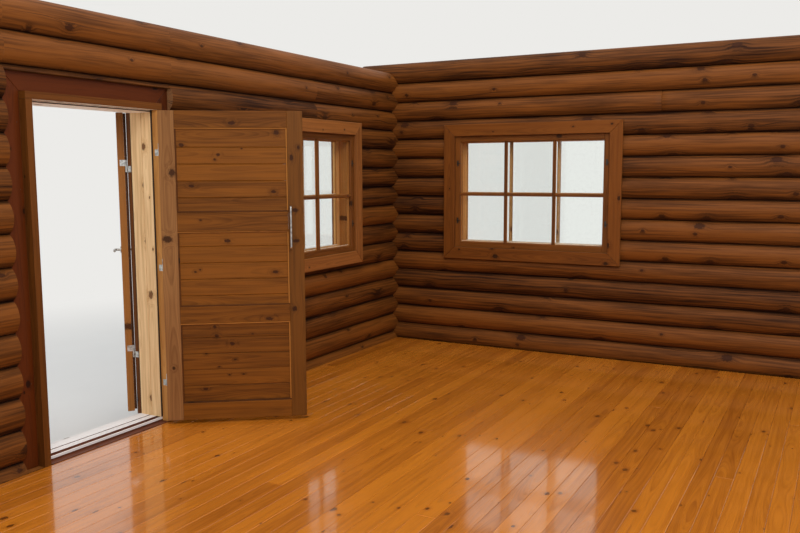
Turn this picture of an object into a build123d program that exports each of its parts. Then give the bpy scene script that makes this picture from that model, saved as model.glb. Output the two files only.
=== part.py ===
"""A log cabin's corner: two round-log walls with a double-leaf doorway, two windows and a board floor.

Millimetres, +Z up. The origin is at ground level where the centrelines of the two walls cross.
The door wall runs along -Y, the window wall runs along +X, and the room lies between them.
"""

from build123d import *
import math
import os

os.makedirs("parts", exist_ok=True)

# Log walls
log_radius = 110.0
course = 180.0  # height gained by each log
log_overhang = 300.0  # log ends that stand out past the crossing
door_wall_length = 5000.0
window_wall_length = 4200.0
door_wall_courses = 16
window_wall_courses = 17  # the first is a half log

# Fits
seat = 0.3  # clearance where one fixed piece sits against another
swing_gap = 7.0  # clearance round a leaf that swings

# Floor
floor_level = 300.0
floor_board = 28.0
joist_height = 170.0
joist_width = 45.0
joist_pitch = 450.0
bearer_width = 100.0

# Doorway
wall_past_doorway = 785.0  # from the doorway's free side to the wall's end
leaf_width = 908.0
leaf_top = 2337.0
inner_leaf_lift = 24.0  # height of the leaf's bottom over the floor
outer_leaf_lift = 37.0
inner_leaf_thickness = 44.0
outer_leaf_thickness = 45.0
frame_inner = 112.0  # the frame's edge on the room side, from the wall's centreline
frame_outer = -168.0
frame_thickness = 42.0
frame_stop = 14.0  # how far the stop between the leaves stands into the opening
threshold_bottom = 262.0
threshold_step = 4.0  # threshold over the floor, under the inner leaf
threshold_rise = 30.0  # threshold over the floor, between the leaves
threshold_fall = 12.0  # slope down to its outer edge
door_settling_gap = 28.0  # left over the frame for the logs to sink

# Door leaves
stile_width = 100.0
inner_bottom_rail = 112.0
inner_top_rail = 106.0
inner_middle_rails = ((968.0, 1078.0), (1568.0, 1691.0))  # heights of their edges
outer_rail = 110.0
panel_thickness = 22.0
panel_tongue = 9.0  # how deep a panel sits in its groove
panel_board = 107.0
inner_first_boards = (107.0, 107.0, 134.0)  # each panel's top board, from the lowest panel up
outer_board = 120.0
board_groove = 9.0
inner_opening = 126.0  # degrees from closed, as it stands
outer_opening = 133.0

# Hinges and handles
hinge_proud = 8.0  # pin axis in front of the leaf's face
knuckle_radius = 6.5
hinge_pin_radius = 3.5
pin_clearance = 0.2
hinge_height = 80.0
hinge_plate = 2.5
hinge_plate_reach = 32.0
inner_hinge_heights = (587.0, 1350.0, 2094.0)
outer_hinge_heights = (750.0, 1990.0)
pull_radius = 6.0
pull_bend = 12.0
pull_standoff = 42.0
pull_foot = (1454.0, 1725.0)
pull_from_edge = 84.0
lever_height = 1365.0
lever_length = 120.0
lever_radius = 9.0
lever_bend = 13.5
lever_standoff = 48.0
rose_radius = 24.0
rose_thickness = 6.0
lever_from_edge = 60.0

# Casings
casing_thickness = 20.0
inner_door_casing_width = 105.0
door_casing_recess = 50.0  # the frame stands out past the casing on the room side
outer_door_casing_width = 85.0
window_casing_width = 110.0

# Windows
two_light_start = 900.0  # from the crossing to the sash
two_light_width = 1120.0
three_light_start = 745.0
three_light_width = 1455.0
sash_bottom = 1235.0
sash_top = 2270.0
window_sill_depth = 65.0  # from the sashes down to the cut log
window_settling_gap = 53.0
window_stop = 14.0
sash_member = 52.0
sash_thickness = 40.0
sash_setback = 4.0
outer_sash_face = -80.0
sash_bar = 24.0
sash_bar_height = 1735.0
glazing_rebate = 12.0
glass_thickness = 4.0
glass_lap = 9.0
drip_board = 24.0
drip_reach = 60.0

# Worked out from the sizes above
doorway_end = door_wall_length - wall_past_doorway
doorway_start = doorway_end - leaf_width - 2 * swing_gap  # the hinge side of the rebate
doorway_top = leaf_top + swing_gap
inner_leaf_bottom = floor_level + inner_leaf_lift
outer_leaf_bottom = floor_level + outer_leaf_lift
window_opening_bottom = sash_bottom - window_sill_depth
window_opening_top = sash_top + frame_thickness + window_settling_gap
door_opening = (doorway_start - frame_thickness - seat, doorway_end + frame_thickness + seat)
door_opening_top = doorway_top + frame_thickness + door_settling_gap
door_casing_back = frame_inner - door_casing_recess - casing_thickness
first_window_course = 7
first_top_course = 13


class Wall:
    """One log wall: its cross-section plane, its face plane, and the side that the room is on."""

    def __init__(self, section, face, room, first_axis):
        self.section = section
        self.face = face
        self.room = room
        self.first_axis = first_axis

    def axis_height(self, index):
        return self.first_axis + index * course

    def at_depth(self, depth):
        """The wall's face plane, moved towards the room."""
        return self.face.offset(self.room * depth)


door_wall = Wall(Plane.XZ, Plane(origin=(0, 0, 0), x_dir=(0, -1, 0), z_dir=(-1, 0, 0)), -1, course / 2)
window_wall = Wall(Plane.YZ, Plane(origin=(0, 0, 0), x_dir=(1, 0, 0), z_dir=(0, -1, 0)), 1, 0)


def log(wall, index, start, end):
    """One round log, grooved along its underside over the log below and saddled over the crossing log."""
    height = wall.axis_height(index)
    crossing = window_wall if wall is door_wall else door_wall
    crossing_index = index if wall is door_wall else index - 1
    with BuildPart() as piece:
        with BuildSketch(wall.section.offset(start)):
            with Locations((0, height)):
                Circle(log_radius)
            if index > 0:
                with Locations((0, height - course)):
                    Circle(log_radius + seat, mode=Mode.SUBTRACT)
            Rectangle(4 * log_radius, 4 * log_radius, align=(Align.CENTER, Align.MAX), mode=Mode.SUBTRACT)
        extrude(amount=end - start)
        if start < 0 and crossing_index >= 0:
            with BuildSketch(crossing.section.offset(-2 * log_radius)):
                with Locations((0, crossing.axis_height(crossing_index))):
                    Circle(log_radius + seat)
            extrude(amount=4 * log_radius, mode=Mode.SUBTRACT)
    return piece.part


def lay_logs(wall, indices, start, end):
    """Adds the courses named by their indices, from start to end along the wall."""
    for index in indices:
        add(log(wall, index, start, end))


def cut_opening(wall, along, heights, back=-2 * log_radius):
    """Cuts a squared opening through the logs, or a recess from the room side down to the back's depth."""
    with BuildSketch(wall.at_depth(back)) as opening:
        with Locations(((along[0] + along[1]) / 2, (heights[0] + heights[1]) / 2)):
            Rectangle(along[1] - along[0], heights[1] - heights[0])
    extrude(opening.sketch, amount=wall.room * 4 * log_radius, mode=Mode.SUBTRACT)


def finish(piece, name):
    """Names a finished piece and writes it."""
    piece.part.label = name
    export_step(piece.part, f"parts/{name}.step")


def window_opening(start, width):
    return (start - frame_thickness - seat, start + width + frame_thickness + seat)


two_light_opening = window_opening(two_light_start, two_light_width)
three_light_opening = window_opening(three_light_start, three_light_width)
window_heights = (window_opening_bottom, window_opening_top)
door_heights = (threshold_bottom, door_opening_top)


def recess_for_casing():
    """Planes the logs flat round the doorway, where the casing lies back from the frame's edge."""
    reach = inner_door_casing_width + seat
    along = (door_opening[0] - reach, door_opening[1] + reach)
    top = doorway_top + frame_thickness + seat + reach
    cut_opening(door_wall, along, (floor_level, top), door_casing_back - seat)


# Door wall, from the ground up
with BuildPart() as door_wall_base_logs:
    lay_logs(door_wall, range(0, 2), -log_overhang, door_wall_length)
    cut_opening(door_wall, door_opening, door_heights)
    recess_for_casing()
finish(door_wall_base_logs, "door_wall_base_logs")

with BuildPart() as door_wall_apron_logs:
    lay_logs(door_wall, range(2, first_window_course), -log_overhang, door_opening[0])
    cut_opening(door_wall, two_light_opening, window_heights)
    recess_for_casing()
finish(door_wall_apron_logs, "door_wall_apron_logs")

with BuildPart() as door_wall_corner_logs:
    lay_logs(door_wall, range(first_window_course, first_top_course), -log_overhang, two_light_opening[0])
finish(door_wall_corner_logs, "door_wall_corner_logs")

with BuildPart() as door_wall_pier_logs:
    lay_logs(
        door_wall, range(first_window_course, first_top_course), two_light_opening[1], door_opening[0]
    )
    recess_for_casing()
finish(door_wall_pier_logs, "door_wall_pier_logs")

with BuildPart() as door_wall_end_logs:
    lay_logs(door_wall, range(2, first_top_course), door_opening[1], door_wall_length)
    recess_for_casing()
finish(door_wall_end_logs, "door_wall_end_logs")

with BuildPart() as door_wall_top_logs:
    lay_logs(door_wall, range(first_top_course, door_wall_courses), -log_overhang, door_wall_length)
    cut_opening(door_wall, door_opening, door_heights)
    cut_opening(door_wall, two_light_opening, window_heights)
    recess_for_casing()
finish(door_wall_top_logs, "door_wall_top_logs")

# Window wall, from the ground up
with BuildPart() as window_wall_base_logs:
    lay_logs(window_wall, range(0, first_window_course), -log_overhang, window_wall_length)
    cut_opening(window_wall, three_light_opening, window_heights)
finish(window_wall_base_logs, "window_wall_base_logs")

with BuildPart() as window_wall_corner_logs:
    lay_logs(
        window_wall, range(first_window_course, first_top_course), -log_overhang, three_light_opening[0]
    )
finish(window_wall_corner_logs, "window_wall_corner_logs")

with BuildPart() as window_wall_end_logs:
    lay_logs(
        window_wall, range(first_window_course, first_top_course), three_light_opening[1], window_wall_length
    )
finish(window_wall_end_logs, "window_wall_end_logs")

with BuildPart() as window_wall_top_logs:
    lay_logs(window_wall, range(first_top_course, window_wall_courses), -log_overhang, window_wall_length)
    cut_opening(window_wall, three_light_opening, window_heights)
finish(window_wall_top_logs, "window_wall_top_logs")


def board(wall, along, heights, depths):
    """Adds a squared piece: its stretch along the wall, its heights and its depths towards the room."""
    with BuildSketch(wall.at_depth(depths[0])) as outline:
        with Locations(((along[0] + along[1]) / 2, (heights[0] + heights[1]) / 2)):
            Rectangle(along[1] - along[0], heights[1] - heights[0])
    extrude(outline.sketch, amount=wall.room * (depths[1] - depths[0]))


def casing_outline(along, heights, width, to_floor):
    """Boards round an opening, mitred at the corners. A doorway's run down to the floor."""
    middle = (along[0] + along[1]) / 2
    span = along[1] - along[0]
    rise = heights[1] - heights[0]
    foot = 0 if to_floor else width
    mitre = 2 * width
    with BuildSketch() as outline:
        with Locations((middle, heights[0] - foot)):
            Rectangle(span + 2 * width, rise + foot + width, align=(Align.CENTER, Align.MIN))
        with Locations((middle, heights[0])):
            Rectangle(span, rise, align=(Align.CENTER, Align.MIN), mode=Mode.SUBTRACT)
        with Locations((along[0] - width / 2, heights[1] + width / 2)):
            Rectangle(mitre, seat, rotation=-45, mode=Mode.SUBTRACT)
        with Locations((along[1] + width / 2, heights[1] + width / 2)):
            Rectangle(mitre, seat, rotation=45, mode=Mode.SUBTRACT)
        if not to_floor:
            with Locations((along[0] - width / 2, heights[0] - width / 2)):
                Rectangle(mitre, seat, rotation=45, mode=Mode.SUBTRACT)
            with Locations((along[1] + width / 2, heights[0] - width / 2)):
                Rectangle(mitre, seat, rotation=-45, mode=Mode.SUBTRACT)
    return outline.sketch


def casing(wall, along, heights, width, back, to_floor=False):
    """Casing boards standing outwards from the given depth of their back, on either side of the wall."""
    forward = 1 if back > 0 else -1
    outline = casing_outline(along, heights, width, to_floor)
    with BuildPart() as boards:
        plane = wall.at_depth(back)
        extrude(plane * outline, amount=wall.room * forward * casing_thickness)
    return boards


# Door frame: two jambs and a head with a stop between the two leaves, over a threshold
stop_inner = frame_inner - inner_leaf_thickness - swing_gap
stop_outer = frame_outer + outer_leaf_thickness + swing_gap
threshold_top = floor_level + threshold_rise
pin_along = doorway_start + swing_gap / 2
inner_pin_depth = frame_inner + hinge_proud
outer_pin_depth = frame_outer - hinge_proud

with BuildPart() as door_frame:
    for edge, side in ((doorway_start, -1), (doorway_end, 1)):
        body = sorted((edge, edge + side * frame_thickness))
        stop = sorted((edge - side * frame_stop, edge))
        board(door_wall, body, (threshold_bottom + seat, doorway_top - seat), (frame_outer, frame_inner))
        board(door_wall, stop, (threshold_top + seat, doorway_top - seat), (stop_outer, stop_inner))
    board(
        door_wall,
        (doorway_start - frame_thickness, doorway_end + frame_thickness),
        (doorway_top, doorway_top + frame_thickness),
        (frame_outer, frame_inner),
    )
    board(
        door_wall,
        (doorway_start + frame_stop + seat, doorway_end - frame_stop - seat),
        (doorway_top - frame_stop, doorway_top),
        (stop_outer, stop_inner),
    )
    for heights, pin_depth, inward in (
        (inner_hinge_heights, inner_pin_depth, -1),
        (outer_hinge_heights, outer_pin_depth, 1),
    ):
        for height in heights:
            face_depth = pin_depth + inward * hinge_proud
            plane = door_wall.at_depth(face_depth)
            with BuildSketch(plane):
                with Locations((doorway_start, height)):
                    Rectangle(
                        hinge_plate + seat,
                        hinge_height + 2 * seat,
                        align=(Align.MAX, Align.CENTER),
                    )
            extrude(amount=door_wall.room * inward * (hinge_plate_reach + seat), mode=Mode.SUBTRACT)
finish(door_frame, "door_frame")

with BuildPart() as door_threshold:
    with BuildSketch(door_wall.section.offset(doorway_start + seat)):
        with BuildLine():
            Polyline(
                (frame_inner, threshold_bottom + seat),
                (frame_inner, floor_level + threshold_step),
                (stop_inner, floor_level + threshold_step),
                (stop_inner, threshold_top),
                (stop_outer, threshold_top),
                (frame_outer, threshold_top - threshold_fall),
                (frame_outer, threshold_bottom + seat),
                close=True,
            )
        make_face()
    extrude(amount=doorway_end - doorway_start - 2 * seat)
finish(door_threshold, "door_threshold")

door_casing_heights = (floor_level + seat, doorway_top + frame_thickness + seat)
door_inner_casing = casing(
    door_wall,
    door_opening,
    door_casing_heights,
    inner_door_casing_width,
    door_casing_back,
    to_floor=True,
)
finish(door_inner_casing, "door_inner_casing")
door_outer_casing = casing(
    door_wall,
    door_opening,
    door_casing_heights,
    outer_door_casing_width,
    -frame_inner - seat,
    to_floor=True,
)
finish(door_outer_casing, "door_outer_casing")


class Leaf:
    """A door leaf's own planes at the angle it stands open: origin on its pin, x along its width."""

    def __init__(self, pin_depth, opening):
        pin = Vector(pin_depth, -pin_along, 0)
        width_way = Vector(0, -1, 0).rotate(Axis.Z, opening)
        face_way = Vector(-1, 0, 0).rotate(Axis.Z, opening)
        self.pin = pin
        self.face = Plane(origin=pin, x_dir=width_way, z_dir=face_way)
        self.section = Plane(origin=pin, x_dir=-face_way, z_dir=width_way)


def leaf_member(leaf, across, heights, depths):
    """Adds a stile or rail: its stretch across the leaf, its heights and its depths from the pin."""
    with BuildSketch(leaf.face.offset(depths[0])) as outline:
        with Locations(((across[0] + across[1]) / 2, (heights[0] + heights[1]) / 2)):
            Rectangle(across[1] - across[0], heights[1] - heights[0])
    extrude(outline.sketch, amount=depths[1] - depths[0])


def boarded_panel(leaf, across, heights, centre_depth, first_board, pitch):
    """Adds a panel of horizontal boards, laid from the top, with a V at each joint on both faces."""
    joints = 1 + int((heights[1] - heights[0] - first_board) / pitch)
    with BuildSketch(leaf.section.offset(across[0])) as outline:
        with Locations((-centre_depth, (heights[0] + heights[1]) / 2)):
            Rectangle(panel_thickness, heights[1] - heights[0])
        for joint in range(joints):
            joint_height = heights[1] - first_board - joint * pitch
            if joint_height - heights[0] > board_groove:
                with Locations(
                    (-centre_depth - panel_thickness / 2, joint_height),
                    (-centre_depth + panel_thickness / 2, joint_height),
                ):
                    Rectangle(board_groove, board_groove, rotation=45, mode=Mode.SUBTRACT)
    extrude(outline.sketch, amount=across[1] - across[0])


def leaf_frame(leaf, rails, depths, hinge_heights, hinge_side):
    """Stiles and rails, grooved along their inner edges for the panels and pocketed for the hinge plates."""
    hinge_edge = swing_gap / 2
    free_edge = hinge_edge + leaf_width
    bottom, top = rails[0][0], rails[-1][1]
    middle = (depths[0] + depths[1]) / 2
    groove = (middle - panel_thickness / 2 - seat, middle + panel_thickness / 2 + seat)
    with BuildPart() as frame:
        leaf_member(leaf, (hinge_edge, hinge_edge + stile_width), (bottom, top), depths)
        leaf_member(leaf, (free_edge - stile_width, free_edge), (bottom, top), depths)
        for rail in rails:
            between = (hinge_edge + stile_width + seat, free_edge - stile_width - seat)
            leaf_member(leaf, between, rail, depths)
        for low, high in zip(rails, rails[1:]):
            with BuildSketch(leaf.face.offset(groove[0])) as pocket:
                with Locations((hinge_edge + leaf_width / 2, (low[1] + high[0]) / 2)):
                    Rectangle(
                        leaf_width - 2 * stile_width + 2 * (panel_tongue + seat),
                        high[0] - low[1] + 2 * (panel_tongue + seat),
                    )
            extrude(pocket.sketch, amount=groove[1] - groove[0], mode=Mode.SUBTRACT)
        for height in hinge_heights:
            with BuildSketch(leaf.face.offset(hinge_side * hinge_proud)) as pocket:
                with Locations((hinge_edge, height)):
                    Rectangle(hinge_plate + seat, hinge_height + 2 * seat, align=(Align.MIN, Align.CENTER))
            extrude(pocket.sketch, amount=hinge_side * (hinge_plate_reach + seat), mode=Mode.SUBTRACT)
    return frame


def leaf_panels(leaf, rails, depths, first_boards, pitch):
    """The panels between the rails, each held in the groove round it."""
    hinge_edge = swing_gap / 2
    across = (
        hinge_edge + stile_width - panel_tongue,
        hinge_edge + leaf_width - stile_width + panel_tongue,
    )
    with BuildPart() as panels:
        for low, high, first_board in zip(rails, rails[1:], first_boards):
            heights = (low[1] - panel_tongue, high[0] + panel_tongue)
            boarded_panel(leaf, across, heights, (depths[0] + depths[1]) / 2, first_board, pitch)
    return panels


def upright_cylinder(centre, heights, radius, mode=Mode.ADD):
    """A round bar along a hinge's axis."""
    with BuildSketch(Plane.XY.offset(heights[0])) as circle:
        with Locations((centre.X, centre.Y)):
            Circle(radius)
    extrude(circle.sketch, amount=heights[1] - heights[0], mode=mode)


def leaf_hinges(leaf, heights, side):
    """The leaf's half of each hinge: the upper knuckle, bored for the pin, and its plate."""
    with BuildPart() as hinges:
        for height in heights:
            upper = (height + seat, height + hinge_height / 2)
            upright_cylinder(leaf.pin, upper, knuckle_radius)
            with BuildSketch(leaf.face) as plate:
                with Locations((swing_gap / 2, (upper[0] + upper[1]) / 2)):
                    Rectangle(hinge_plate, upper[1] - upper[0], align=(Align.MIN, Align.CENTER))
            extrude(plate.sketch, amount=side * (hinge_proud + hinge_plate_reach))
            upright_cylinder(leaf.pin, upper, hinge_pin_radius + pin_clearance, Mode.SUBTRACT)
    return hinges


def frame_hinges(pin, heights, inward):
    """Adds the frame's half of each hinge: the lower knuckle, its pin and its plate."""
    for height in heights:
        lower = (height - hinge_height / 2, height)
        upright_cylinder(pin, lower, knuckle_radius)
        upright_cylinder(pin, (height - seat, height + hinge_height / 2 - seat), hinge_pin_radius)
        reach = sorted((pin.X, pin.X + inward * (hinge_proud + hinge_plate_reach)))
        board(door_wall, (doorway_start - hinge_plate, doorway_start), lower, reach)


# Inner leaf: four rails and three panels of horizontal boards
inner_rails = (
    (inner_leaf_bottom, inner_leaf_bottom + inner_bottom_rail),
    *inner_middle_rails,
    (leaf_top - inner_top_rail, leaf_top),
)
inner_leaf = Leaf(inner_pin_depth, inner_opening)
inner_depths = (hinge_proud, hinge_proud + inner_leaf_thickness)
inner_leaf_frame = leaf_frame(inner_leaf, inner_rails, inner_depths, inner_hinge_heights, 1)
finish(inner_leaf_frame, "inner_leaf_frame")
inner_leaf_panels = leaf_panels(inner_leaf, inner_rails, inner_depths, inner_first_boards, panel_board)
finish(inner_leaf_panels, "inner_leaf_panels")
inner_leaf_hinges = leaf_hinges(inner_leaf, inner_hinge_heights, 1)
finish(inner_leaf_hinges, "inner_leaf_hinges")

pull_across = swing_gap / 2 + leaf_width - pull_from_edge
with BuildPart() as inner_leaf_pulls:
    for face, outward in ((-inner_depths[0], 1), (-inner_depths[1], -1)):
        foot = face + outward * seat
        grip = foot + outward * pull_standoff
        with BuildLine(inner_leaf.section.offset(pull_across)) as pull_path:
            FilletPolyline(
                (foot, pull_foot[0]),
                (grip, pull_foot[0]),
                (grip, pull_foot[1]),
                (foot, pull_foot[1]),
                radius=pull_bend,
            )
        with BuildSketch(Plane(origin=pull_path.line @ 0, z_dir=pull_path.line % 0)):
            Circle(pull_radius)
        sweep()
finish(inner_leaf_pulls, "inner_leaf_pulls")

# Outer leaf: a bottom rail, a top rail and horizontal boards between them
outer_leaf = Leaf(outer_pin_depth, -outer_opening)
outer_depths = (-hinge_proud - outer_leaf_thickness, -hinge_proud)
outer_rails = (
    (outer_leaf_bottom, outer_leaf_bottom + outer_rail),
    (leaf_top - outer_rail, leaf_top),
)
outer_leaf_frame = leaf_frame(outer_leaf, outer_rails, outer_depths, outer_hinge_heights, -1)
finish(outer_leaf_frame, "outer_leaf_frame")
outer_leaf_boards = leaf_panels(outer_leaf, outer_rails, outer_depths, (outer_board,), outer_board)
finish(outer_leaf_boards, "outer_leaf_boards")
outer_leaf_hinges = leaf_hinges(outer_leaf, outer_hinge_heights, -1)
finish(outer_leaf_hinges, "outer_leaf_hinges")

lever_across = swing_gap / 2 + leaf_width - lever_from_edge
with BuildPart() as outer_leaf_levers:
    for face, outward in ((-outer_depths[0], 1), (-outer_depths[1], -1)):
        rose_plane = outer_leaf.face.offset(-face - outward * seat)
        with BuildSketch(rose_plane):
            with Locations((lever_across, lever_height)):
                Circle(rose_radius)
        extrude(amount=-outward * rose_thickness)
        level = Plane(
            origin=outer_leaf.pin + Vector(0, 0, lever_height), x_dir=outer_leaf.face.x_dir, z_dir=(0, 0, 1)
        )
        grip_depth = face + outward * lever_standoff
        with BuildLine(level) as lever_path:
            FilletPolyline(
                (lever_across, face + outward * seat),
                (lever_across, grip_depth),
                (lever_across - lever_length, grip_depth),
                radius=lever_bend,
            )
        with BuildSketch(Plane(origin=lever_path.line @ 0, z_dir=lever_path.line % 0)):
            Circle(lever_radius)
        sweep()
finish(outer_leaf_levers, "outer_leaf_levers")

with BuildPart() as door_frame_hinges:
    frame_hinges(inner_leaf.pin, inner_hinge_heights, -1)
    frame_hinges(outer_leaf.pin, outer_hinge_heights, 1)
finish(door_frame_hinges, "door_frame_hinges")


def window_frame(wall, start, width):
    """Frame boards through the wall, with a stop between the inner and the outer sash."""
    end = start + width
    stop = (outer_sash_face + sash_thickness + seat, frame_inner - sash_setback - sash_thickness - seat)
    depths = (-frame_inner, frame_inner)
    with BuildPart() as frame:
        for edge, side in ((start, -1), (end, 1)):
            body = sorted((edge, edge + side * frame_thickness))
            upright = (window_opening_bottom + seat, sash_top + frame_thickness)
            board(wall, body, upright, depths)
            stop_along = sorted((edge - side * window_stop, edge))
            board(wall, stop_along, (sash_bottom + seat, sash_top - seat), stop)
        board(wall, (start + seat, end - seat), (window_opening_bottom + seat, sash_bottom), depths)
        board(wall, (start + seat, end - seat), (sash_top, sash_top + frame_thickness), depths)
        across = (start + window_stop + seat, end - window_stop - seat)
        board(wall, across, (sash_bottom, sash_bottom + window_stop), stop)
        board(wall, across, (sash_top - window_stop, sash_top), stop)
    return frame


sash_faces = ((frame_inner - sash_setback, -1), (outer_sash_face, 1))


def window_sashes(wall, start, width, lights):
    """The inner and the outer sash, each one frame with bars before its glass."""
    middle = start + width / 2
    light = (width - 2 * sash_member - (lights - 1) * sash_bar) / lights
    rows = (
        (sash_bottom + sash_member, sash_bar_height - sash_bar / 2),
        (sash_bar_height + sash_bar / 2, sash_top - sash_member),
    )
    with BuildPart() as sashes:
        for face, inward in sash_faces:
            with BuildSketch(wall.at_depth(face)) as outline:
                with Locations((middle, (sash_bottom + sash_top) / 2)):
                    Rectangle(width - 2 * seat, sash_top - sash_bottom - 2 * seat)
                for low, high in rows:
                    for column in range(lights):
                        light_middle = start + sash_member + light / 2 + column * (light + sash_bar)
                        with Locations((light_middle, (low + high) / 2)):
                            Rectangle(light, high - low, mode=Mode.SUBTRACT)
            extrude(outline.sketch, amount=wall.room * inward * sash_thickness)
            rebate = face + inward * (sash_thickness - glazing_rebate)
            with BuildSketch(wall.at_depth(rebate)) as pocket:
                with Locations((middle, (rows[0][0] + rows[1][1]) / 2)):
                    Rectangle(
                        width - 2 * sash_member + 2 * glass_lap, rows[1][1] - rows[0][0] + 2 * glass_lap
                    )
            extrude(pocket.sketch, amount=wall.room * inward * glazing_rebate, mode=Mode.SUBTRACT)
    return sashes


def window_glass(wall, start, width):
    """One pane in each sash, lying in its rebate against the bars."""
    middle = start + width / 2
    sight = sash_top - sash_bottom - 2 * sash_member
    with BuildPart() as panes:
        for face, inward in sash_faces:
            pane = face + inward * (sash_thickness - glazing_rebate + seat)
            with BuildSketch(wall.at_depth(pane)) as outline:
                with Locations((middle, (sash_bottom + sash_top) / 2)):
                    lap = 2 * (glass_lap - seat)
                    Rectangle(width - 2 * sash_member + lap, sight + lap)
            extrude(outline.sketch, amount=wall.room * inward * glass_thickness)
    return panes


def window_drip(wall, start, width):
    """The sloping sill outside, over the lower casing board."""
    back = outer_sash_face - seat
    nose = -frame_inner - drip_reach
    with BuildPart() as drip:
        with BuildSketch(wall.section.offset(start + seat)) as outline:
            with BuildLine():
                side = 1 if wall is door_wall else -1
                Polyline(
                    (side * back, sash_bottom + seat),
                    (side * back, sash_bottom + drip_board),
                    (side * nose, sash_bottom + drip_board / 2),
                    (side * nose, sash_bottom + seat),
                    close=True,
                )
            make_face()
        extrude(outline.sketch, amount=width - 2 * seat)
    return drip


for window, wall, start, width, lights in (
    ("two_light_window", door_wall, two_light_start, two_light_width, 2),
    ("three_light_window", window_wall, three_light_start, three_light_width, 3),
):
    along = (start, start + width)
    heights = (sash_bottom, sash_top)
    finish(window_frame(wall, start, width), f"{window}_frame")
    finish(window_sashes(wall, start, width, lights), f"{window}_sashes")
    finish(window_glass(wall, start, width), f"{window}_glass")
    finish(window_drip(wall, start, width), f"{window}_drip")
    inside = casing(wall, along, heights, window_casing_width, frame_inner + seat)
    finish(inside, f"{window}_inner_casing")
    outside = casing(wall, along, heights, window_casing_width, -frame_inner - seat)
    finish(outside, f"{window}_outer_casing")

# Floor: boards over joists, which lie on bearers along the ground
floor_start = frame_inner + seat  # butted against the door frame, just clear of the logs
floor_x = (floor_start, window_wall_length)
floor_y = (-door_wall_length, -floor_start)
joist_top = floor_level - floor_board
bearer_top = joist_top - joist_height

with BuildPart() as floor_boards:
    with BuildSketch(Plane.XY.offset(joist_top)):
        with Locations((floor_x[0], floor_y[0])):
            Rectangle(floor_x[1] - floor_x[0], floor_y[1] - floor_y[0], align=(Align.MIN, Align.MIN))
    extrude(amount=floor_board)
finish(floor_boards, "floor_boards")

joist_run = floor_y[1] - floor_y[0] - joist_width
joist_spaces = math.ceil(joist_run / joist_pitch)
with BuildPart() as floor_joists:
    with BuildSketch(Plane.XY.offset(bearer_top)):
        with Locations(((floor_x[0] + floor_x[1]) / 2, (floor_y[0] + floor_y[1]) / 2)):
            with GridLocations(0, joist_run / joist_spaces, 1, joist_spaces + 1):
                Rectangle(floor_x[1] - floor_x[0], joist_width)
    extrude(amount=joist_height - seat)
finish(floor_joists, "floor_joists")

bearer_run = floor_x[1] - floor_x[0] - bearer_width
with BuildPart() as floor_bearers:
    with BuildSketch(Plane.XY):
        with Locations(((floor_x[0] + floor_x[1]) / 2, (floor_y[0] + floor_y[1]) / 2)):
            with GridLocations(bearer_run / 2, 0, 3, 1):
                Rectangle(bearer_width, floor_y[1] - floor_y[0])
    extrude(amount=bearer_top - seat)
finish(floor_bearers, "floor_bearers")
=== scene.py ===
import math
import random

import bpy
from mathutils import Matrix, Vector, noise


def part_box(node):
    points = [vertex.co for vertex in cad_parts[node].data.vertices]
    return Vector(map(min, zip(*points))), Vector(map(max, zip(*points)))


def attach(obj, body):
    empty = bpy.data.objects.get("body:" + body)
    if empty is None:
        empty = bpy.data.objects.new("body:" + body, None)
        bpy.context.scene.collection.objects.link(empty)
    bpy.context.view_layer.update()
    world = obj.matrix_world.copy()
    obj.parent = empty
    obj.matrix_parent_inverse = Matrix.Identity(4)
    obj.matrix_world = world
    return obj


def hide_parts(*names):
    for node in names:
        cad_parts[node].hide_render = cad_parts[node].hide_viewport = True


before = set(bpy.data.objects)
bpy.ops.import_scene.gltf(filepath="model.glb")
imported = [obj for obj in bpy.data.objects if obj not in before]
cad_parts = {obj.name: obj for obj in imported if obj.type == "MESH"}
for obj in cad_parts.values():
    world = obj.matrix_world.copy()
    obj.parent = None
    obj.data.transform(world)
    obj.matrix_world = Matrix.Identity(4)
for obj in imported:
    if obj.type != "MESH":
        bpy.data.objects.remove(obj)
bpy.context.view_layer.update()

rng = random.Random(11)

# Sizes in metres, as the solids have them
LOG_RADIUS = 0.110
COURSE = 0.180
LOG_OVERHANG = 0.300
DOOR_WALL_LENGTH = -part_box("door_wall_top_logs")[0].y
WINDOW_WALL_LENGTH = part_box("window_wall_top_logs")[1].x
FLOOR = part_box("floor_boards")[1].z
FRAME_BOARD = 0.042
frame_low, frame_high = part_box("door_frame")
DOORWAY = (FRAME_BOARD - frame_high.y, -FRAME_BOARD - frame_low.y)
DOORWAY_TOP = frame_high.z - FRAME_BOARD
FRAME_DEPTHS = (frame_low.x, frame_high.x)
FRAME_FACE = 0.112  # from a wall's centreline to the room side of its frames
STOP_REACH = 0.014  # how far a frame's stop stands into the opening
TWO_LIGHT, THREE_LIGHT = (0.900, 1.120), (0.745, 1.455)  # where each window's sashes start, and their width
SASH_HEIGHTS = (1.235, 2.270)
WINDOW_HEIGHTS = (1.170, 2.365)
THRESHOLD_BOTTOM = 0.262
SETTLING_GAP = 0.028  # over the door frame, for the logs to sink
FIT = 0.0003


def linear(red, green, blue):
    """A colour written as 0 to 255 values, in the linear values that the shaders take."""
    def channel(value):
        value /= 255
        return value / 12.92 if value <= 0.04045 else ((value + 0.055) / 1.055) ** 2.4
    return (channel(red), channel(green), channel(blue), 1.0)


def shade(colour, by):
    return [value * by for value in colour]


# Materials

SHINE = 0.14  # how much of a varnish's usual reflection the wood gives
FAR = 20.0  # a distance past any knot's halo, in the knot's own radii
COLOUR_INPUTS, COLOUR_RESULT = (6, 7), 2  # sockets of the mix node when it mixes colours


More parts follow.
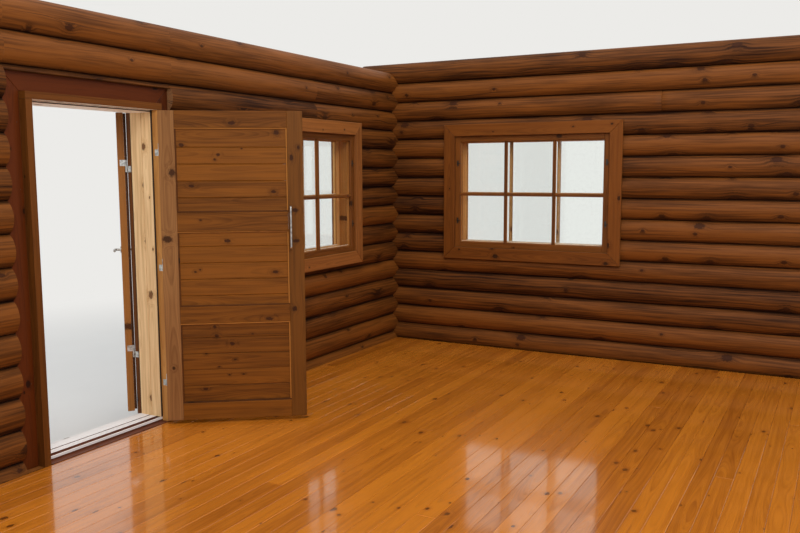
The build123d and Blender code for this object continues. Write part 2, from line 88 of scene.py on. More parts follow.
class Tree:
    """Builds the nodes of one material, or of the world."""

    def __init__(self, name, owner=None):
        self.material = owner or bpy.data.materials.new(name)
        self.material.use_nodes = True
        self.nodes = self.material.node_tree.nodes
        self.links = self.material.node_tree.links
        self.shader = self.nodes.get("Principled BSDF")

    def put(self, value, socket):
        if isinstance(value, bpy.types.NodeSocket):
            self.links.new(value, socket)
        else:
            socket.default_value = value

    def set(self, name, value):
        """Gives one input of the surface shader its value or its link."""
        self.put(value, self.shader.inputs[name])

    def blend(self, factor, first, second):
        return self.node("ShaderNodeMixShader", {0: factor, 1: first.outputs[0], 2: second.outputs[0]})

    def surface(self, node):
        output = self.nodes.get("Material Output") or self.nodes["World Output"]
        self.links.new(node.outputs[0], output.inputs["Surface"])

    def node(self, kind, inputs=(), **settings):
        made = self.nodes.new(kind)
        for key, value in settings.items():
            setattr(made, key, value)
        for key, value in dict(inputs).items():
            self.put(value, made.inputs[key])
        return made

    def math(self, operation, *values, clamp=False):
        made = self.node("ShaderNodeMath", operation=operation, use_clamp=clamp)
        for socket, value in zip(made.inputs, values):
            self.put(value, socket)
        return made.outputs[0]

    def times(self, first, second):
        return self.math("MULTIPLY", first, second)

    def add(self, value, by, onto, clamp=False):
        """The value times a factor, added onto another."""
        return self.math("MULTIPLY_ADD", value, by, onto, clamp=clamp)

    def lean(self, value, by, onto, middle=0.5):
        """Adds how far a value is from its middle, times a factor."""
        return self.add(self.math("SUBTRACT", value, middle), by, onto)

    def saw(self, value, period):
        """A rise from 0 to 1 over each period."""
        return self.math("FRACT", self.math("DIVIDE", value, period))

    def off_middle(self, value):
        return self.math("ABSOLUTE", self.math("SUBTRACT", value, 0.5))

    def vector(self, operation, *values):
        made = self.node("ShaderNodeVectorMath", operation=operation)
        for socket, value in zip(made.inputs, values):
            self.put(value, socket)
        return made.outputs["Value" if operation == "LENGTH" else "Vector"]

    def stretch(self, place, *factors):
        return self.vector("MULTIPLY", place, factors)

    def combine(self, x, y, z):
        return self.node("ShaderNodeCombineXYZ", {"X": x, "Y": y, "Z": z}).outputs[0]

    def noise(self, vector, scale=1.0, detail=2.0, roughness=0.5):
        inputs = {"Vector": vector, "Scale": scale, "Detail": detail, "Roughness": roughness}
        return self.node("ShaderNodeTexNoise", inputs).outputs["Fac"]

    def span(self, value, low, high, to_low=0.0, to_high=1.0, smooth=True):
        inputs = {"Value": value, "From Min": low, "From Max": high, "To Min": to_low, "To Max": to_high}
        kind = "SMOOTHSTEP" if smooth else "LINEAR"
        return self.node("ShaderNodeMapRange", inputs, interpolation_type=kind).outputs["Result"]

    def mix(self, factor, *colours):
        """Mixes two colours, each a socket or three values from 0 to 255."""
        made = self.node("ShaderNodeMix", data_type="RGBA", clamp_factor=True)
        self.put(factor, made.inputs["Factor"])
        for socket, colour in zip(COLOUR_INPUTS, colours):
            if not isinstance(colour, bpy.types.NodeSocket):
                colour = linear(*colour)
            self.put(colour, made.inputs[socket])
        return made.outputs[COLOUR_RESULT]

    def attribute(self, name, output="Fac"):
        return self.node("ShaderNodeAttribute", attribute_name=name).outputs[output]

    def grain(self):
        """The place in the wood, and its value along, across and into the face."""
        place = self.attribute("grain", "Vector")
        return place, *self.node("ShaderNodeSeparateXYZ", {"Vector": place}).outputs

    def object_place(self):
        return self.node("ShaderNodeTexCoord").outputs["Object"]

    def bump(self, height, strength, distance):
        inputs = {"Height": height, "Strength": strength, "Distance": distance}
        self.set("Normal", self.node("ShaderNodeBump", inputs).outputs["Normal"])


def knots(tree, x, y, cell, share, size):
    """Scattered knots: the distance from the nearest one, in its own radii, or far where a cell has none."""
    scaled = tree.combine(tree.math("DIVIDE", x, cell[0]), tree.math("DIVIDE", y, cell[1]), 0.0)
    cells = tree.node("ShaderNodeTexVoronoi", {"Vector": scaled, "Scale": 1.0}, voronoi_dimensions="2D")
    offset = tree.vector("SUBTRACT", scaled, cells.outputs["Position"])
    metres = tree.stretch(offset, cell[0] * 0.7, cell[1], 0.0)
    pick = tree.node("ShaderNodeSeparateColor", {"Color": cells.outputs["Color"]})
    missing = tree.math("LESS_THAN", pick.outputs[0], 1.0 - share)
    radius = tree.add(tree.math("POWER", pick.outputs[1], 2.0), size, 0.35 * size)
    ratio = tree.math("DIVIDE", tree.vector("LENGTH", metres), radius)
    return tree.add(missing, FAR, ratio)


def placed_knots(tree, spots):
    """The distance from the nearest of some knots that are placed one by one on a leaf, in its own radii."""
    place = tree.attribute("spot", "Vector")
    nearest = FAR
    for knot in spots:
        across, height, half_width, half_height = (millimetres / 1000 for millimetres in knot)
        offset = tree.vector("SUBTRACT", place, (across, height, 0.0))
        scaled = tree.stretch(offset, 1 / half_width, 1 / half_height, 0.0)
        nearest = tree.math("MINIMUM", tree.vector("LENGTH", scaled), nearest)
    return nearest


def knot_masks(tree, ratio, place):
    """How far a point is inside a knot with a wavy outline, and in the halo that bends the grain round it."""
    wave = tree.noise(tree.stretch(place, 70.0, 90.0, 90.0), detail=2.0)
    ratio = tree.lean(wave, 1.2, ratio)
    return tree.span(ratio, 1.3, 0.65), tree.span(ratio, 3.8, 0.9), ratio


def wood(
    name, light, dark, knot, ring=0.0045, figure=0.55, streaks=0.5, rough=(0.42, 0.58), coat=0.0,
    coat_ior=1.5, knot_cell=(0.34, 0.11), knot_share=0.2, knot_size=0.016, tone_depth=0.5, relief=0.25,
    spots=(),
):
    """Sawn wood: growth rings cut by the face, fibres, knots with the rings flowing round them."""
    tree = Tree(name)
    place, x, y, z = tree.grain()
    tone = tree.attribute("tone")
    ratio = knots(tree, x, y, knot_cell, knot_share, knot_size)
    if spots:
        ratio = tree.math("MINIMUM", ratio, placed_knots(tree, spots))
    inside, halo, ratio = knot_masks(tree, ratio, place)

    wander = tree.noise(tree.stretch(place, 1.1, 5.0, 5.0), detail=1.0)
    pith = tree.vector("LENGTH", tree.combine(0.0, y, z))
    bent = tree.add(wander, 0.055, pith)
    bent = tree.add(tree.math("POWER", halo, 2.0), 1.2 * knot_size, bent)
    saw = tree.saw(bent, ring)
    late = tree.times(tree.span(saw, 0.25, 0.9), tree.span(saw, 1.0, 0.93))
    broad = tree.saw(bent, 4.6 * ring)
    broad = tree.times(tree.span(broad, 0.1, 0.85), tree.span(broad, 1.0, 0.88))

    streak = tree.noise(tree.stretch(place, 2.2, 48.0, 48.0), detail=3.0, roughness=0.6)
    fibre = tree.noise(tree.stretch(place, 14.0, 520.0, 520.0), detail=2.0)
    mottle = tree.noise(tree.stretch(place, 0.9, 6.0, 6.0), detail=2.0)

    factor = tree.times(late, 0.42 * figure)
    factor = tree.add(broad, 0.40 * figure, factor)
    factor = tree.add(tree.span(streak, 0.32, 0.72), streaks * 0.55, factor)
    factor = tree.lean(mottle, 0.7, factor)
    factor = tree.lean(fibre, 0.18, factor)
    factor = tree.lean(tone, tone_depth, factor)
    factor = tree.add(halo, 0.22, factor, clamp=True)
    colour = tree.mix(factor, light, dark)
    knot_rings = tree.math("FRACT", tree.times(ratio, 2.6))
    knot_colour = tree.mix(tree.span(knot_rings, 0.2, 0.9), knot, shade(knot, 0.7))
    rim = tree.times(tree.span(ratio, 0.6, 0.9), inside)
    knot_colour = tree.mix(tree.times(rim, 0.7), knot_colour, shade(knot, 0.45))
    colour = tree.mix(tree.times(inside, 0.92), colour, knot_colour)
    tree.set("Base Color", colour)
    gloss = tree.add(fibre, 0.12, factor)
    tree.set("Roughness", tree.span(gloss, 0.0, 1.0, *rough, smooth=False))
    height = tree.add(late, 0.5, tree.times(fibre, 0.8))
    height = tree.add(inside, -0.5, height)
    tree.bump(height, relief, 0.0009)
    tree.set("Specular IOR Level", SHINE)
    tree.set("Coat Weight", coat)
    tree.set("Coat Roughness", 0.08)
    tree.set("Coat IOR", coat_ior)
    return tree.material


def log_skin(name, light, dark, knot, rough=(0.48, 0.66)):
    """A peeled and varnished log: fibres, large knots, drying cracks, and painted shade that darkens it
    towards the seams between the courses, over a wider band on its underside.
    """
    tree = Tree(name)
    place, x, y, z = tree.grain()
    # The edge attribute is painted shade: it rises towards the seams where the log meets its neighbours
    tone, edge = tree.attribute("tone"), tree.attribute("edge")
    inside, halo, ratio = knot_masks(tree, knots(tree, x, y, (0.46, 0.15), 0.5, 0.024), place)
    sway = tree.noise(tree.combine(tree.times(x, 1.4), tree.times(y, 3.0), z), detail=2.0)
    flow = tree.add(sway, 0.035, y)
    flow = tree.add(tree.math("POWER", halo, 2.0), 0.022, flow)
    lines = tree.combine(tree.times(x, 1.6), tree.times(flow, 62.0), z)
    streak = tree.noise(lines, detail=4.0, roughness=0.62)
    hair = tree.combine(tree.times(x, 9.0), tree.times(flow, 420.0), z)
    fine = tree.noise(hair, detail=2.0)
    patches = tree.combine(tree.times(x, 1.1), tree.times(y, 7.0), z)
    mottle = tree.noise(patches, detail=3.0)

    # Drying cracks run along the log where two slow patterns meet
    crack_line = tree.add(sway, 0.16, y)
    crack_band = tree.saw(crack_line, 0.135)
    crack_way = tree.off_middle(crack_band)
    stretches = tree.combine(tree.times(x, 0.75), tree.times(y, 4.0), z)
    crack_run = tree.noise(stretches, detail=1.0)
    crack_open = tree.span(crack_run, 0.50, 0.66, 0.0, 0.017)
    crack = tree.span(tree.math("SUBTRACT", crack_way, crack_open), 0.007, -0.006)
    crack = tree.times(crack, tree.math("GREATER_THAN", crack_run, 0.5))

    factor = tree.times(tree.span(streak, 0.3, 0.7), 0.66)
    factor = tree.lean(mottle, 1.25, factor, middle=0.45)
    factor = tree.lean(fine, 0.22, factor)
    factor = tree.lean(tone, 0.55, factor)
    factor = tree.add(halo, 0.2, factor)
    # Painted shade darkens the wood towards the seams
    factor = tree.add(edge, 0.5, factor, clamp=True)
    colour = tree.mix(factor, light, dark)
    rim = tree.times(tree.span(ratio, 0.6, 0.9), inside)
    knot_colour = tree.mix(rim, knot, shade(knot, 0.6))
    colour = tree.mix(tree.times(inside, 0.9), colour, knot_colour)
    colour = tree.mix(tree.times(crack, 0.9), colour, (22, 11, 5))
    # Painted shade: a near-black line where the log meets its neighbours
    seam_shade = tree.span(edge, 0.72, 1.0)
    colour = tree.mix(tree.times(seam_shade, 0.85), colour, (26, 13, 6))
    tree.set("Base Color", colour)
    tree.set("Roughness", tree.span(factor, 0.0, 1.0, *rough, smooth=False))
    tree.set("Specular IOR Level", SHINE)
    height = tree.add(streak, 0.9, tree.times(fine, 0.3))
    height = tree.add(inside, 0.9, height)
    height = tree.add(crack, -2.2, height)
    tree.bump(height, 0.5, 0.0022)
    return tree.material


def end_grain(name, light, dark):
    """A log's sawn end: rings, and drying cracks that run out from the middle."""
    tree = Tree(name)
    place, x, y, z = tree.grain()
    wobble = tree.noise(tree.stretch(place, 1.0, 14.0, 14.0), detail=2.0)
    radius = tree.vector("LENGTH", tree.combine(0.0, y, z))
    bent = tree.add(wobble, 0.012, radius)
    saw = tree.saw(bent, 0.0042)
    late = tree.times(tree.span(saw, 0.3, 0.9), tree.span(saw, 1.0, 0.92))
    angle = tree.math("ARCTAN2", z, y)
    around = tree.combine(tree.math("COSINE", angle), tree.math("SINE", angle), x)
    spoke = tree.noise(around, scale=3.2, detail=3.0)
    crack_way = tree.off_middle(spoke)
    crack = tree.times(tree.span(crack_way, 0.014, 0.003), tree.span(radius, 0.012, 0.05))
    fine = tree.noise(tree.stretch(place, 1.0, 160.0, 160.0), detail=3.0)
    factor = tree.add(late, 0.5, tree.times(fine, 0.35))
    factor = tree.add(tree.span(radius, 0.02, 0.11), 0.25, factor, clamp=True)
    colour = tree.mix(factor, light, dark)
    colour = tree.mix(tree.span(radius, 0.006, 0.003), colour, (60, 30, 14))
    colour = tree.mix(tree.times(crack, 0.9), colour, (28, 15, 8))
    tree.set("Base Color", colour)
    tree.set("Roughness", tree.span(fine, 0.3, 0.7, 0.62, 0.8))
    height = tree.add(crack, -2.0, tree.times(fine, 0.6))
    tree.bump(height, 0.5, 0.0015)
    return tree.material


def metal(name, colour, rough=(0.24, 0.42)):
    """Brushed steel with handling marks."""
    tree = Tree(name)
    place = tree.object_place()
    brushed = tree.noise(tree.stretch(place, 700.0, 700.0, 60.0), detail=2.0)
    marks = tree.noise(place, scale=55.0, detail=4.0)
    base = tree.mix(tree.span(marks, 0.35, 0.7), colour, shade(colour, 0.72))
    tree.set("Base Color", base)
    tree.set("Roughness", tree.span(brushed, 0.2, 0.8, *rough))
    tree.bump(brushed, 0.15, 0.0003)
    tree.set("Metallic", 1.0)
    return tree.material


def seal(name, colour):
    """A soft dark strip."""
    tree = Tree(name)
    place = tree.object_place()
    pores = tree.noise(place, scale=420.0, detail=3.0)
    base = tree.mix(pores, colour, shade(colour, 0.6))
    tree.set("Base Color", base)
    tree.set("Roughness", tree.span(pores, 0.3, 0.7, 0.7, 0.9))
    tree.bump(pores, 0.3, 0.0006)
    return tree.material


def pane(name):
    """Window glass: clear, with a reflection that grows towards grazing, and a little dust."""
    tree = Tree(name)
    place = tree.object_place()
    tree.nodes.remove(tree.shader)
    dust = tree.noise(place, scale=38.0, detail=5.0)
    clear = tree.node("ShaderNodeBsdfTransparent", {"Color": (0.985, 0.995, 0.99, 1.0)})
    shine = tree.node("ShaderNodeBsdfGlossy", {"Color": (1.0, 1.0, 1.0, 1.0), "Roughness": 0.03})
    facing = tree.node("ShaderNodeLayerWeight", {"Blend": 0.5}).outputs["Facing"]
    glint = tree.add(tree.math("POWER", facing, 5.0), 0.96, 0.04)
    film = tree.node("ShaderNodeBsdfDiffuse", {"Color": (0.8, 0.82, 0.8, 1.0)})
    amount = tree.span(dust, 0.45, 0.8, 0.0, 0.02)
    tree.surface(tree.blend(amount, tree.blend(glint, clear, shine), film))
    return tree.material


# Knots that show on the inner leaf, in millimetres: across it and up it, then half width and half height
LEAF_KNOTS = (
    (463, 2260, 22, 12), (745, 2200, 18, 14), (143, 2120, 16, 12), (370, 2060, 13, 9), (350, 2030, 8, 7),
    (200, 1860, 18, 10), (720, 1820, 15, 11), (838, 2040, 12, 20), (417, 1505, 21, 11), (676, 987, 25, 12),
    (843, 1050, 15, 17), (320, 940, 12, 10), (330, 880, 13, 12), (430, 825, 16, 12), (250, 526, 15, 8),
    (81, 1945, 20, 26), (40, 1520, 30, 22), (857, 1700, 20, 12), (859, 1500, 22, 12), (206, 1305, 9, 7),
    (237, 1319, 7, 6), (722, 1297, 20, 10), (426, 1563, 6, 5), (447, 718, 10, 6), (407, 617, 7, 6),
    (499, 618, 9, 5), (260, 763, 9, 6), (883, 2106, 10, 12), (251, 1641, 6, 5), (563, 887, 8, 5),
    (342, 672, 8, 5), (521, 2098, 6, 5), (52, 675, 9, 11),
)

LOG = log_skin("log_skin", (126, 72, 26), (42, 19, 5), (58, 27, 9))
LOG_END = end_grain("log_end", (176, 124, 76), (112, 68, 36))
JAMB_PINE = wood(
    "jamb_pine", (244, 208, 158), (196, 150, 96), (122, 74, 36), knot_share=0.55, streaks=0.8, coat=0.05,
)
# Near white, painted daylight: the underside of the door's head, and the feet of the window lights
PAINTED_DAYLIGHT_PINE = wood("painted_daylight_pine", (250, 236, 218), (226, 204, 178), (160, 120, 80))
# Paler than the stained frame: painted daylight on the rebate faces
PAINTED_LIT_REBATE_PINE = wood("painted_lit_rebate_pine", (212, 152, 82), (168, 106, 50), (120, 70, 32), coat=0.05)
FRAME_FACE_PINE = wood("frame_face_pine", (112, 64, 22), (66, 32, 8), (48, 23, 8))
ON_INNER_LEAF = {"knot_share": 0.0, "knot_size": 0.012, "spots": LEAF_KNOTS}
DOOR_PINE = wood(
    "door_pine", (134, 79, 22), (80, 43, 9), (66, 29, 6), streaks=0.7, **ON_INNER_LEAF,
)
HINGE_STILE_PINE = wood(
    "hinge_stile_pine", (162, 114, 68), (116, 74, 38), (66, 34, 13), **ON_INNER_LEAF,
)
FREE_STILE_PINE = wood(
    "free_stile_pine", (112, 67, 21), (67, 37, 8), (60, 27, 7), streaks=0.7, **ON_INNER_LEAF,
)
# Lit and shaded copies of the bead wood: painted light on the beads' heads and free sides, painted shade on
# their feet and hinge sides
PAINTED_LIT_BEAD_PINE = wood("painted_lit_bead_pine", (172, 112, 46), (128, 76, 28), (92, 48, 20), knot_share=0.1, coat=0.1)
PAINTED_SHADED_BEAD_PINE = wood("painted_shaded_bead_pine", (92, 50, 16), (58, 29, 9), (46, 23, 8), knot_share=0.1)
OUTER_PINE = wood("outer_door_pine", (160, 104, 50), (104, 62, 26), (70, 34, 13), knot_share=0.4)
# Dark wood for the strip that closes the outer leaf's hinge gap: painted shade for the gap
GAP_SHADE_PINE = wood("gap_shade_pine", (82, 48, 26), (50, 27, 14), (38, 19, 9), knot_share=0.1)
WINDOW_PINE = wood("window_pine", (124, 72, 28), (70, 36, 11), (52, 25, 9))
# Lighter copies of the window pine: painted light on the sash edges, beads and stops, and on the outer sash
# as if lit from outside
PAINTED_LIT_SASH_PINE = wood("painted_lit_sash_pine", (186, 124, 60), (138, 82, 34), (90, 48, 20))
PAINTED_DAYLIT_SASH_PINE = wood("painted_daylit_sash_pine", (238, 178, 110), (190, 130, 72), (120, 70, 34))
CASING_PINE = wood("casing_pine", (124, 70, 24), (74, 37, 10), (48, 23, 8), knot_share=0.3)
LIT_CASING_PINE = wood("lit_casing_pine", (158, 98, 48), (94, 53, 22), (58, 30, 12), knot_share=0.3)
DOOR_CASING_PINE = wood("door_casing_pine", (92, 40, 9), (47, 18, 4), (37, 16, 5), knot_share=0.3)
FLOOR_PINE = wood(
    "floor_pine", (206, 122, 34), (146, 76, 16), (104, 50, 14), rough=(0.24, 0.34), coat=1.0, coat_ior=1.6,
    knot_cell=(0.42, 0.095), knot_share=0.3, knot_size=0.013, tone_depth=0.6,
)
TIMBER = wood(
    "raw_timber", (206, 176, 128), (150, 116, 72), (104, 70, 38), rough=(0.6, 0.78), relief=0.5,
    knot_share=0.45,
)
THRESHOLD_PINE = wood(
    "threshold_pine", (240, 236, 234), (206, 198, 194), (160, 146, 134), figure=0.3, streaks=0.35,
    knot_share=0.1, rough=(0.5, 0.7),
)
THRESHOLD_DARK = wood(
    "threshold_dark", (112, 62, 42), (70, 36, 20), (46, 24, 12), rough=(0.36, 0.5), knot_share=0.45,
)
STEEL = metal("steel", (206, 204, 200))
DARK_STEEL = metal("dark_steel", (88, 82, 76), (0.35, 0.55))
SEAL = seal("seal_strip", (50, 32, 22))
GLASS = pane("window_glass")


# Shapes


class Place:
    """Axes that a piece is drawn in: p and q in its face, r through its thickness."""

    def __init__(self, p_way, q_way, r_way, origin=(0, 0, 0)):
        self.axes = (Vector(p_way), Vector(q_way), Vector(r_way))
        self.origin = Vector(origin)
        self.mirrored = self.axes[0].cross(self.axes[1]).dot(self.axes[2]) < 0

    def world(self, point):
        return self.origin + sum((axis * value for axis, value in zip(self.axes, point)), Vector())


DOOR_WALL = Place((0, -1, 0), (0, 0, 1), (1, 0, 0))
WINDOW_WALL = Place((1, 0, 0), (0, 0, 1), (0, -1, 0))
DOOR_LOGS = Place((1, 0, 0), (0, 0, 1), (0, -1, 0))
WINDOW_LOGS = Place((0, 1, 0), (0, 0, 1), (1, 0, 0))


def leaf_place(pin, opening):
    turn = Matrix.Rotation(math.radians(opening), 3, "Z")
    return Place(turn @ Vector((0, -1, 0)), (0, 0, 1), turn @ Vector((-1, 0, 0)), pin)


PIN_LINE = -3.2965
INNER_LEAF = leaf_place((0.120, PIN_LINE, 0), 126)
OUTER_LEAF = leaf_place((-0.176, PIN_LINE, 0), -133)


def area(outline):
    return 0.5 * sum(a[0] * b[1] - b[0] * a[1] for a, b in zip(outline, outline[1:] + outline[:1]))


def anticlockwise(outline):
    return list(outline)[::-1] if area(outline) < 0 else list(outline)


def inset(outline, by):
    """The outline drawn in by a distance, for a convex outline run anticlockwise."""
    moved = []
    for before, here, after in zip(outline[-1:] + outline[:-1], outline, outline[1:] + outline[:1]):
        first = Vector((here[0] - before[0], here[1] - before[1])).normalized()
        second = Vector((after[0] - here[0], after[1] - here[1])).normalized()
        bisector = Vector((-first.y - second.y, first.x + second.x)).normalized()
        reach = by / max(0.2, bisector.dot(Vector((-first.y, first.x))))
        moved.append((here[0] + bisector.x * reach, here[1] + bisector.y * reach))
    return moved


def faces_between(rings, size):
    """The faces that join rings of points, each to the next."""
    faces = []
    for base in range(0, (rings - 1) * size, size):
        for i in range(size):
            j = (i + 1) % size
            faces.append([base + i, base + j, base + size + j, base + size + i])
    return faces


# The way of a board's grain, and where two letters are given, the way across its visible face
GRAIN_ORDERS = {
    "p": (0, 1, 2), "pr": (0, 2, 1), "q": (1, 0, 2), "qr": (1, 2, 0), "r": (2, 0, 1), "rq": (2, 1, 0),
}


class Pieces:
    """Boards, logs and fittings joined into one mesh that stands for one or more nodes."""

    def __init__(self, place):
        self.place = place
        self.points, self.grain, self.tone, self.edge = [], [], [], []
        self.faces, self.slots, self.smooth = [], [], []

    def add(self, points, faces, slot, along, tone=None, edges=None, grain=None, smooth=False):
        """Adds one solid. Its grain runs along the named axis, and starts at a random place in the wood."""
        start = len(self.points)
        middle = [sum(p[i] for p in points) / len(points) for i in range(3)]
        shift = rng.uniform(3, 90)
        across = (rng.uniform(-0.05, 0.05), rng.uniform(0.03, 0.10))
        order = GRAIN_ORDERS[along]
        tone = rng.random() if tone is None else tone
        for index, point in enumerate(points):
            self.points.append(self.place.world(point))
            if grain:
                self.grain.append(grain[index])
            else:
                local = [point[i] - middle[i] for i in order]
                self.grain.append((local[0] + shift, local[1] + across[0], local[2] + across[1]))
            self.tone.append(tone)
            self.edge.append(edges[index] if edges else 0.0)
        for face in faces:
            face = [start + i for i in face]
            self.faces.append(face[::-1] if self.place.mirrored else face)
            self.slots.append(slot)
            self.smooth.append(smooth)

    def slab(self, outline, depths, along, bevels=(0.0, 0.0), slot=0, tone=None):
        """A solid drawn as an outline and given a thickness, with its back and front edges bevelled."""
        outline = anticlockwise(outline)
        low, high = min(depths), max(depths)
        rings = []
        if bevels[0]:
            rings.append((inset(outline, bevels[0]), low))
        rings.append((outline, low + bevels[0]))
        rings.append((outline, high - bevels[1]))
        if bevels[1]:
            rings.append((inset(outline, bevels[1]), high))
        count = len(outline)
        points = [(p, q, r) for ring, r in rings for p, q in ring]
        ends = [list(range(count))[::-1], [len(points) - count + i for i in range(count)]]
        self.add(points, ends + faces_between(len(rings), count), slot, along, tone)

    def board(self, p, q, r, along="p", bevel=0.0015, slot=0):
        """A squared board between two values on each axis."""
        corners = [(p[0], q[0]), (p[1], q[0]), (p[1], q[1]), (p[0], q[1])]
        self.slab(corners, r, along, (bevel, bevel), slot)

    def boards_inside(self, p, q, width, depths, bevel, slots):
        """Four boards inside an opening: its foot and head, then the two sides between them."""
        (near, far), (bottom, top) = p, q
        upright = (bottom + width, top - width)
        for p_span, q_span, along, slot in zip((p, p, (near, near + width), (far - width, far)),
                                               ((bottom, upright[0]), (upright[1], top), upright, upright),
                                               "ppqq", slots):
            self.board(p_span, q_span, depths, along, bevel, slot)

    def disc(self, centre, radius, depths, bevel, slot, sides):
        turns = [2 * math.pi * i / sides for i in range(sides)]
        ring = [(centre[0] + radius * math.cos(t), centre[1] + radius * math.sin(t)) for t in turns]
        self.slab(ring, depths, "r", (0.0, bevel), slot)

    def finish(self, node, materials, slot, body="cabin", dresses=True, spots=False):
        """Makes the mesh. It takes the place of the node that it dresses, or is a piece of its own."""
        name = node + "_dressed" if dresses else node
        mesh = bpy.data.meshes.new(name)
        mesh.from_pydata(self.points, [], self.faces)
        for material in materials:
            mesh.materials.append(material)
        mesh.polygons.foreach_set("material_index", self.slots)
        mesh.polygons.foreach_set("use_smooth", self.smooth)
        grain = mesh.attributes.new("grain", "FLOAT_VECTOR", "POINT")
        grain.data.foreach_set("vector", [v for g in self.grain for v in g])
        # edge carries the logs' painted shade towards their seams
        for key, values in (("tone", self.tone), ("edge", self.edge)):
            mesh.attributes.new(key, "FLOAT", "POINT").data.foreach_set("value", values)
        if spots:
            on_leaf = INNER_LEAF if body == "inner_door" else OUTER_LEAF
            across, up, _ = on_leaf.axes
            offsets = [point - on_leaf.origin for point in self.points]
            values = [value for offset in offsets for value in (offset.dot(across), offset.dot(up), 0.0)]
            mesh.attributes.new("spot", "FLOAT_VECTOR", "POINT").data.foreach_set("vector", values)
        mesh.validate()
        mesh.update()
        made = bpy.data.objects.new(name, mesh)
        bpy.context.scene.collection.objects.link(made)
        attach(made, body)
        if dresses:
            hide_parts(node)


# Log walls

RUN_STEP = 0.055  # distance between the sections along a log
SOFT_END = 0.006  # rounding of a log's free end
SWELL, HOLLOW, RIPPLE = 0.0032, 0.0012, 0.0012  # how far a log's surface wanders off the round
UPPER_SEAM_SHADE, LOWER_SEAM_SHADE = 0.76, 0.5  # where the painted shade of the seams over and under a log starts, towards its neighbour
CONTACT = math.asin(COURSE / 2 / LOG_RADIUS)  # where a log meets its neighbours, from level
SIDE_STEPS, TOP_STEPS, GROOVE_STEPS = 14, 8, 7


def log_section(height, has_lower):
    """The log's section: (across, height, angle, how freely the surface may wander)."""
    section = []
    for low, high, steps in ((-CONTACT, CONTACT, SIDE_STEPS), (CONTACT, math.pi - CONTACT, TOP_STEPS),
                             (math.pi - CONTACT, math.pi + CONTACT, SIDE_STEPS)):
        for step in range(steps):
            angle = low + (high - low) * step / steps
            from_level = angle if angle < math.pi / 2 else math.pi - angle
            free = max(0.0, 1 - (from_level / CONTACT) ** 2)
            section.append((LOG_RADIUS * math.cos(angle), height + LOG_RADIUS * math.sin(angle), angle, free))
    end = math.pi + CONTACT
    section.append((LOG_RADIUS * math.cos(end), height + LOG_RADIUS * math.sin(end), end, 0.0))
    for step in range(1, GROOVE_STEPS):
        turn = math.pi - CONTACT - (math.pi - 2 * CONTACT) * step / GROOVE_STEPS
        rise = LOG_RADIUS * math.sin(turn) - COURSE if has_lower else -COURSE / 2
        across = LOG_RADIUS * math.cos(turn)
        section.append((across, height + rise, end + 0.02 * step, 0.0))
    return section


def clip(section, limit, keep_below):
    """The part of a section under or over a level cut."""
    kept = []
    inside = (lambda z: z <= limit) if keep_below else (lambda z: z >= limit)
    for a, b in zip(section, section[1:] + section[:1]):
        if inside(a[1]):
            kept.append(a)
        if inside(a[1]) != inside(b[1]):
            share = (limit - a[1]) / (b[1] - a[1])
            angle = a[2] + (b[2] - a[2]) * share if abs(b[2] - a[2]) < 1 else a[2]
            kept.append((a[0] + (b[0] - a[0]) * share, limit, angle, 0.0))
    return kept


def recess(section, limit, heights):
    """The section with its room side planed back to a limit between two heights."""
    low, high = heights
    planed = []
    for a, b in zip(section, section[1:] + section[:1]):
        shares = [0.0, 1.0]
        for axis, value in ((1, low), (1, high), (0, limit)):
            if (a[axis] - value) * (b[axis] - value) < 0:
                shares.append((value - a[axis]) / (b[axis] - a[axis]))
        shares.sort()
        for first, second in zip(shares, shares[1:]):
            ends = [[a[0] + (b[0] - a[0]) * s, a[1] + (b[1] - a[1]) * s, a[2], a[3]] for s in (first, second)]
            if low < (ends[0][1] + ends[1][1]) / 2 < high and (ends[0][0] + ends[1][0]) / 2 > limit:
                for end in ends:
                    end[0], end[3] = limit, 0.0
            for end in ends:
                if not planed or abs(end[0] - planed[-1][0]) + abs(end[1] - planed[-1][1]) > 1e-6:
                    planed.append(tuple(end))
    if abs(planed[0][0] - planed[-1][0]) + abs(planed[0][1] - planed[-1][1]) < 1e-6:
        planed.pop()
    return planed


def log_run(pieces, section, height, start, end, seed, tone, top, ends=(True, True)):
    """One stretch of a log, with rounded arrises at its free ends."""
    count = max(2, int((end - start) / RUN_STEP))
    rows = [(start + (end - start) * i / count, 1.0) for i in range(count + 1)]
    if ends[0]:
        rows = [(start, 1 - SOFT_END / LOG_RADIUS), (start + SOFT_END, 1.0)] + rows[1:]
    if ends[1]:
        rows = rows[:-1] + [(end - SOFT_END, 1.0), (end, 1 - SOFT_END / LOG_RADIUS)]
    size = len(section)
    points, grain, edges = [], [], []
    for along, scale in rows:
        for across, z, angle, free in section:
            roll = Vector((along * 1.7 + seed, math.cos(angle) * 1.3, math.sin(angle) * 1.3 + seed))
            push = noise.noise(roll) * SWELL - HOLLOW
            turn = Vector((along * 5.1 - seed, math.cos(angle) * 3.1, math.sin(angle) * 3.1))
            push += noise.noise(turn) * RIPPLE
            out = scale * (1 + push * free / LOG_RADIUS)
            points.append((across * out, height + (z - height) * out, along))
            grain.append((along + seed, angle * LOG_RADIUS, 0.0))
            # Painted shade: darker towards the logs over and under, over a wider band under the log, and none
            # over the top log
            near = (z - height) / (COURSE / 2)
            seam_shade = UPPER_SEAM_SHADE if near > 0 else LOWER_SEAM_SHADE
            dark = (abs(near) - seam_shade) / (1 - seam_shade)
            if top and z > height:
                dark = 0.0
            edges.append(min(1.0, max(0.0, dark)) ** 1.5)
    pieces.add(points, faces_between(len(rows), size), 0, "r", tone, edges, grain, smooth=True)
    for row, flip in ((0, True), (len(rows) - 1, False)):
        cap = points[row * size:(row + 1) * size]
        rings = [(seed, p[0], p[1] - height) for p in cap]
        order = list(range(size))
        pieces.add(cap, [order[::-1] if flip else order], 1, "r", tone, None, rings)


